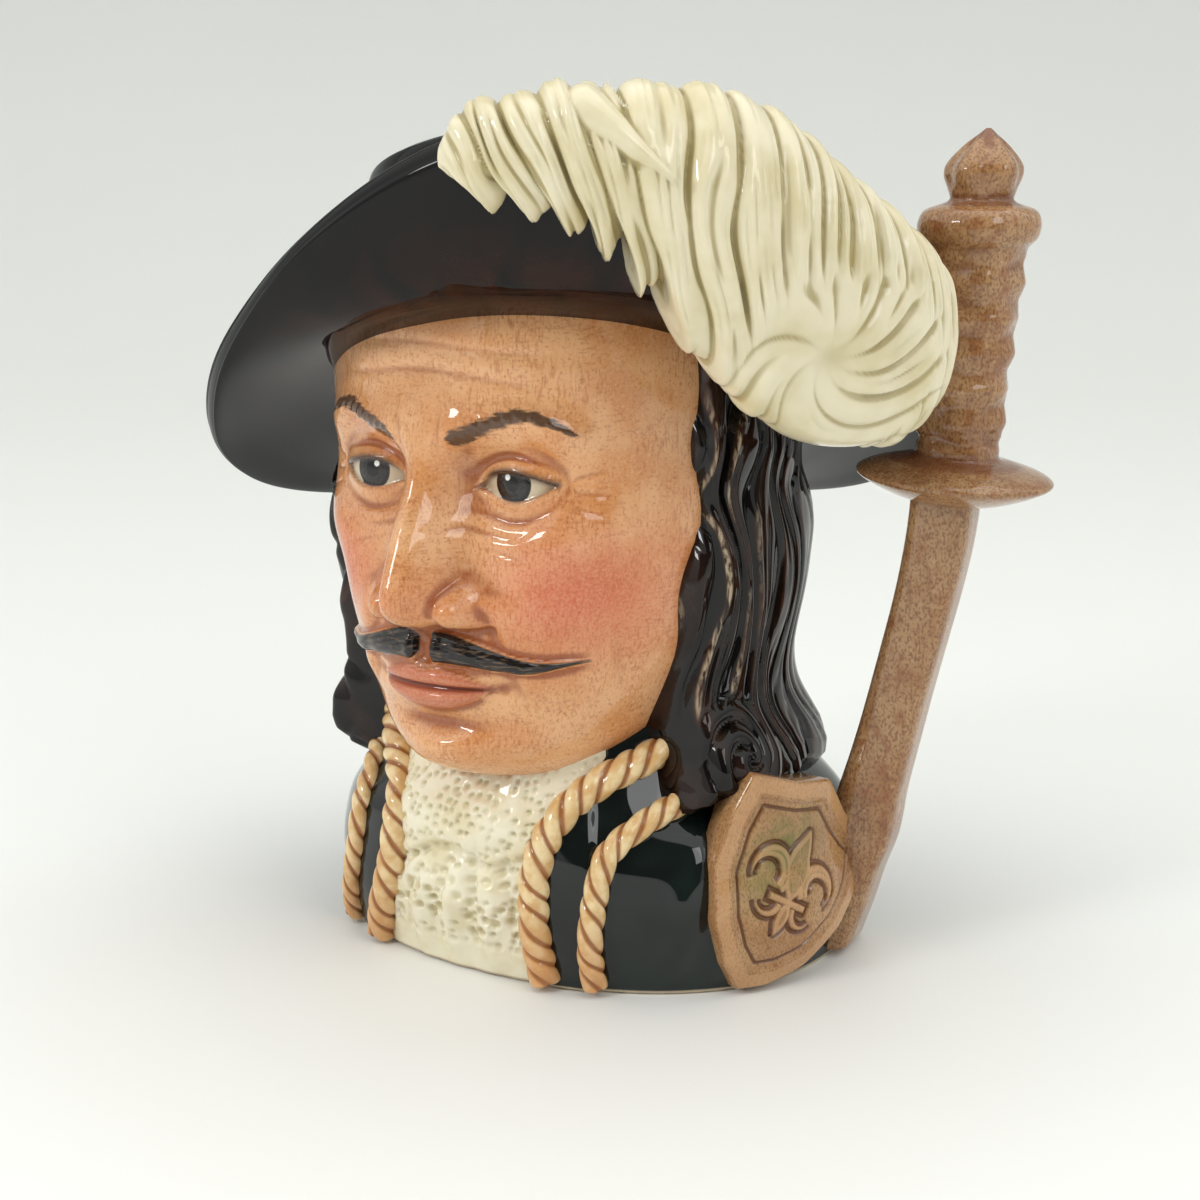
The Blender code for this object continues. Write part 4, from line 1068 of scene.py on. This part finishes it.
def hilt(finish):
    """Guard, ribbed grip and pommel, turned about an axis that leans out a little."""
    guard, grip, pommel = GUARD_DIAMETER / 2, GRIP_DIAMETER / 2, POMMEL_DIAMETER / 2
    thick = GUARD_THICKNESS
    low, high = 112, 155
    rows = [(0.5, GUARD_Z - thick * 0.5), (6, GUARD_Z - thick * 0.5)]
    for wide, up in ((0.6, -0.36), (0.9, -0.1), (1, 0.08), (0.88, 0.25), (0.6, 0.42)):
        rows.append((guard * wide, GUARD_Z + thick * up))
    for place in np.linspace(low, high, 25):
        share = (place - low) / (high - low)
        rib = 0.045 * math.cos(share * 2 * math.pi * 6)
        rows.append((grip * (0.86 + 0.14 * share + rib), place))
    rows += [(grip * wide, z) for wide, z in ((1.2, 156.8), (1.25, 159.6), (1.12, 162.4))]
    for wide, z in ((0.84, 164.2), (0.86, 166.4), (0.96, 169.8), (0.86, 172.2), (0.42, 176)):
        rows.append((pommel * wide, z))
    rows.append((0.5, 178.6))
    radius, height = refine(np.array(rows, float), 6).T[..., None]
    turn = np.linspace(0, 2 * math.pi, 96, endpoint=False)
    lean = HANDLE_REACH - 2.5 + (height - GUARD_Z) * 0.062
    lump = 0.3 * np.sin(3 * turn + height / 3.1) * np.sin(2 * turn - height / 5.3)
    lump = lump + 0.25 * np.sin(5 * turn + 1.7 * np.sin(height / 2.3))
    lump = lump * ramp(height, 110, 113) * (1 - ramp(height, 154, 158))
    facets = -0.6 * np.cos(5 * turn) * ramp(height, 165, 169) * (1 - ramp(height, 175, 178))
    swollen = radius + lump + facets
    tilt = 0.07 * (np.abs(height - GUARD_Z) < thick)
    out, aside = swollen * np.cos(turn), swollen * np.sin(turn)
    points = handle_point(out + lean, aside, height - tilt * out)
    return piece("hilt", points, finish, groove=hollow(swollen, 6) * 1.4)


# Camera, floor and light

def studio():
    """The photograph's view of the jug, a pale floor that curves up behind it, and large soft lights."""
    scene = bpy.context.scene
    camera = bpy.data.objects.new("camera", bpy.data.cameras.new("camera"))
    scene.collection.objects.link(camera)
    camera.location = (0.25235, -0.38721, 0.177)
    look = Vector((-0.5319, 0.8188, -0.2181))
    camera.rotation_euler = look.to_track_quat("-Z", "Y").to_euler()
    camera.data.sensor_width = 36
    camera.data.lens = 62.3
    scene.camera = camera

    across = np.linspace(-2.5, 2.5, 9)[:, None]
    bend, turned = 0.6, np.linspace(0.1, math.pi / 2, 14)
    run = np.concatenate([np.linspace(-2.2, 0.9, 12), 0.9 + bend * np.sin(turned), (1.5, 1.5)])
    rise = np.concatenate([np.zeros(12), bend * (1 - np.cos(turned)), (1.4, 2.6)])
    back = Vector((look.x, look.y, 0)).normalized()
    x = across * back.y + run * back.x
    y = -across * back.x + run * back.y
    grid = np.stack([x, y, rise + 0 * x], axis=-1)
    rows, columns = grid.shape[:2]
    index = np.arange(rows * columns).reshape(rows, columns)
    faces = np.stack([index[:-1, :-1], index[1:, :-1], index[1:, 1:], index[:-1, 1:]], axis=-1)
    faces = faces.reshape(-1, 4)
    mesh = bpy.data.meshes.new("floor")
    mesh.from_pydata(grid.reshape(-1, 3).tolist(), [], faces.tolist())
    mesh.shade_smooth()
    floor = bpy.data.objects.new("floor", mesh)
    scene.collection.objects.link(floor)
    finish = Finish("floor_paper", 0.6, coat=0.0)
    finish.put("Base Color", finish.blend(paint(236, 237, 234), paint(231, 232, 229), finish.noise(400, 2)))
    mesh.materials.append(finish.material)

    tent = bpy.data.worlds.new("tent")
    tent.use_nodes = True
    walls = Nodes(tent.node_tree, "Background")
    toward = walls.node("ShaderNodeTexCoord", {}, {}, "Generated")
    rise = walls.node("ShaderNodeSeparateXYZ", {}, [toward], "Z")
    towards_camera = [toward, (0.526, -0.81, 0.26)]
    facing = walls.node("ShaderNodeVectorMath", {"operation": "DOT_PRODUCT"}, towards_camera, "Value")
    pale = walls.blend((0.66, 0.67, 0.66, 1), (1.42, 1.43, 1.40, 1), rise.step(0.0, 0.8))
    walls.put("Color", walls.blend(pale, (0.10, 0.10, 0.09, 1), facing.step(0.77, 0.80)))
    scene.world = tent
    scene.view_settings.view_transform = "Standard"
    lights = (("left_window", (-0.30, -0.85, 0.55), (0.26, 0.16), 2.4),
              ("right_window", (0.74, -0.38, 0.60), (0.30, 0.42), 1.5),
              ("top", (0.05, 0.15, 1.1), (0.8, 0.8), 1.0))
    for name, place, size, power in lights:
        lamp = bpy.data.objects.new(name, bpy.data.lights.new(name, "AREA"))
        lamp.data.shape = "RECTANGLE"
        lamp.data.size, lamp.data.size_y = size
        lamp.data.energy = power
        lamp.location = place
        lamp.rotation_euler = (Vector((0, 0, 0.09)) - Vector(place)).to_track_quat("-Z", "Y").to_euler()
        scene.collection.objects.link(lamp)


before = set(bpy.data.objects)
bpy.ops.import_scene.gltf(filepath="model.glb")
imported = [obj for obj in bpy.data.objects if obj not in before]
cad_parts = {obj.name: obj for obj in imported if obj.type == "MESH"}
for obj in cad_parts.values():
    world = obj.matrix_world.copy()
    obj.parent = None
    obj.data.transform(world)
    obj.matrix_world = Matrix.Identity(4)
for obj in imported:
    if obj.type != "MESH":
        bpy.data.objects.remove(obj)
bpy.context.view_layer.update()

flesh, black, dark_hair, cloth = flesh_glaze(), black_glaze(), hair_glaze(), coat_glaze()
ivory, ochre, tan, bronze, cream = plume_glaze(), rope_glaze(), tan_glaze(), shield_glaze(), lining_glaze()
coat = bust(cloth)
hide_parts("jug")
lining(cream)
head(flesh)
hair(dark_hair)
hat(black)
plume(ivory)
for rope_name in ROPES:
    rope(rope_name, ochre)
shield(bronze)
blade(tan)
hilt(tan)
studio()
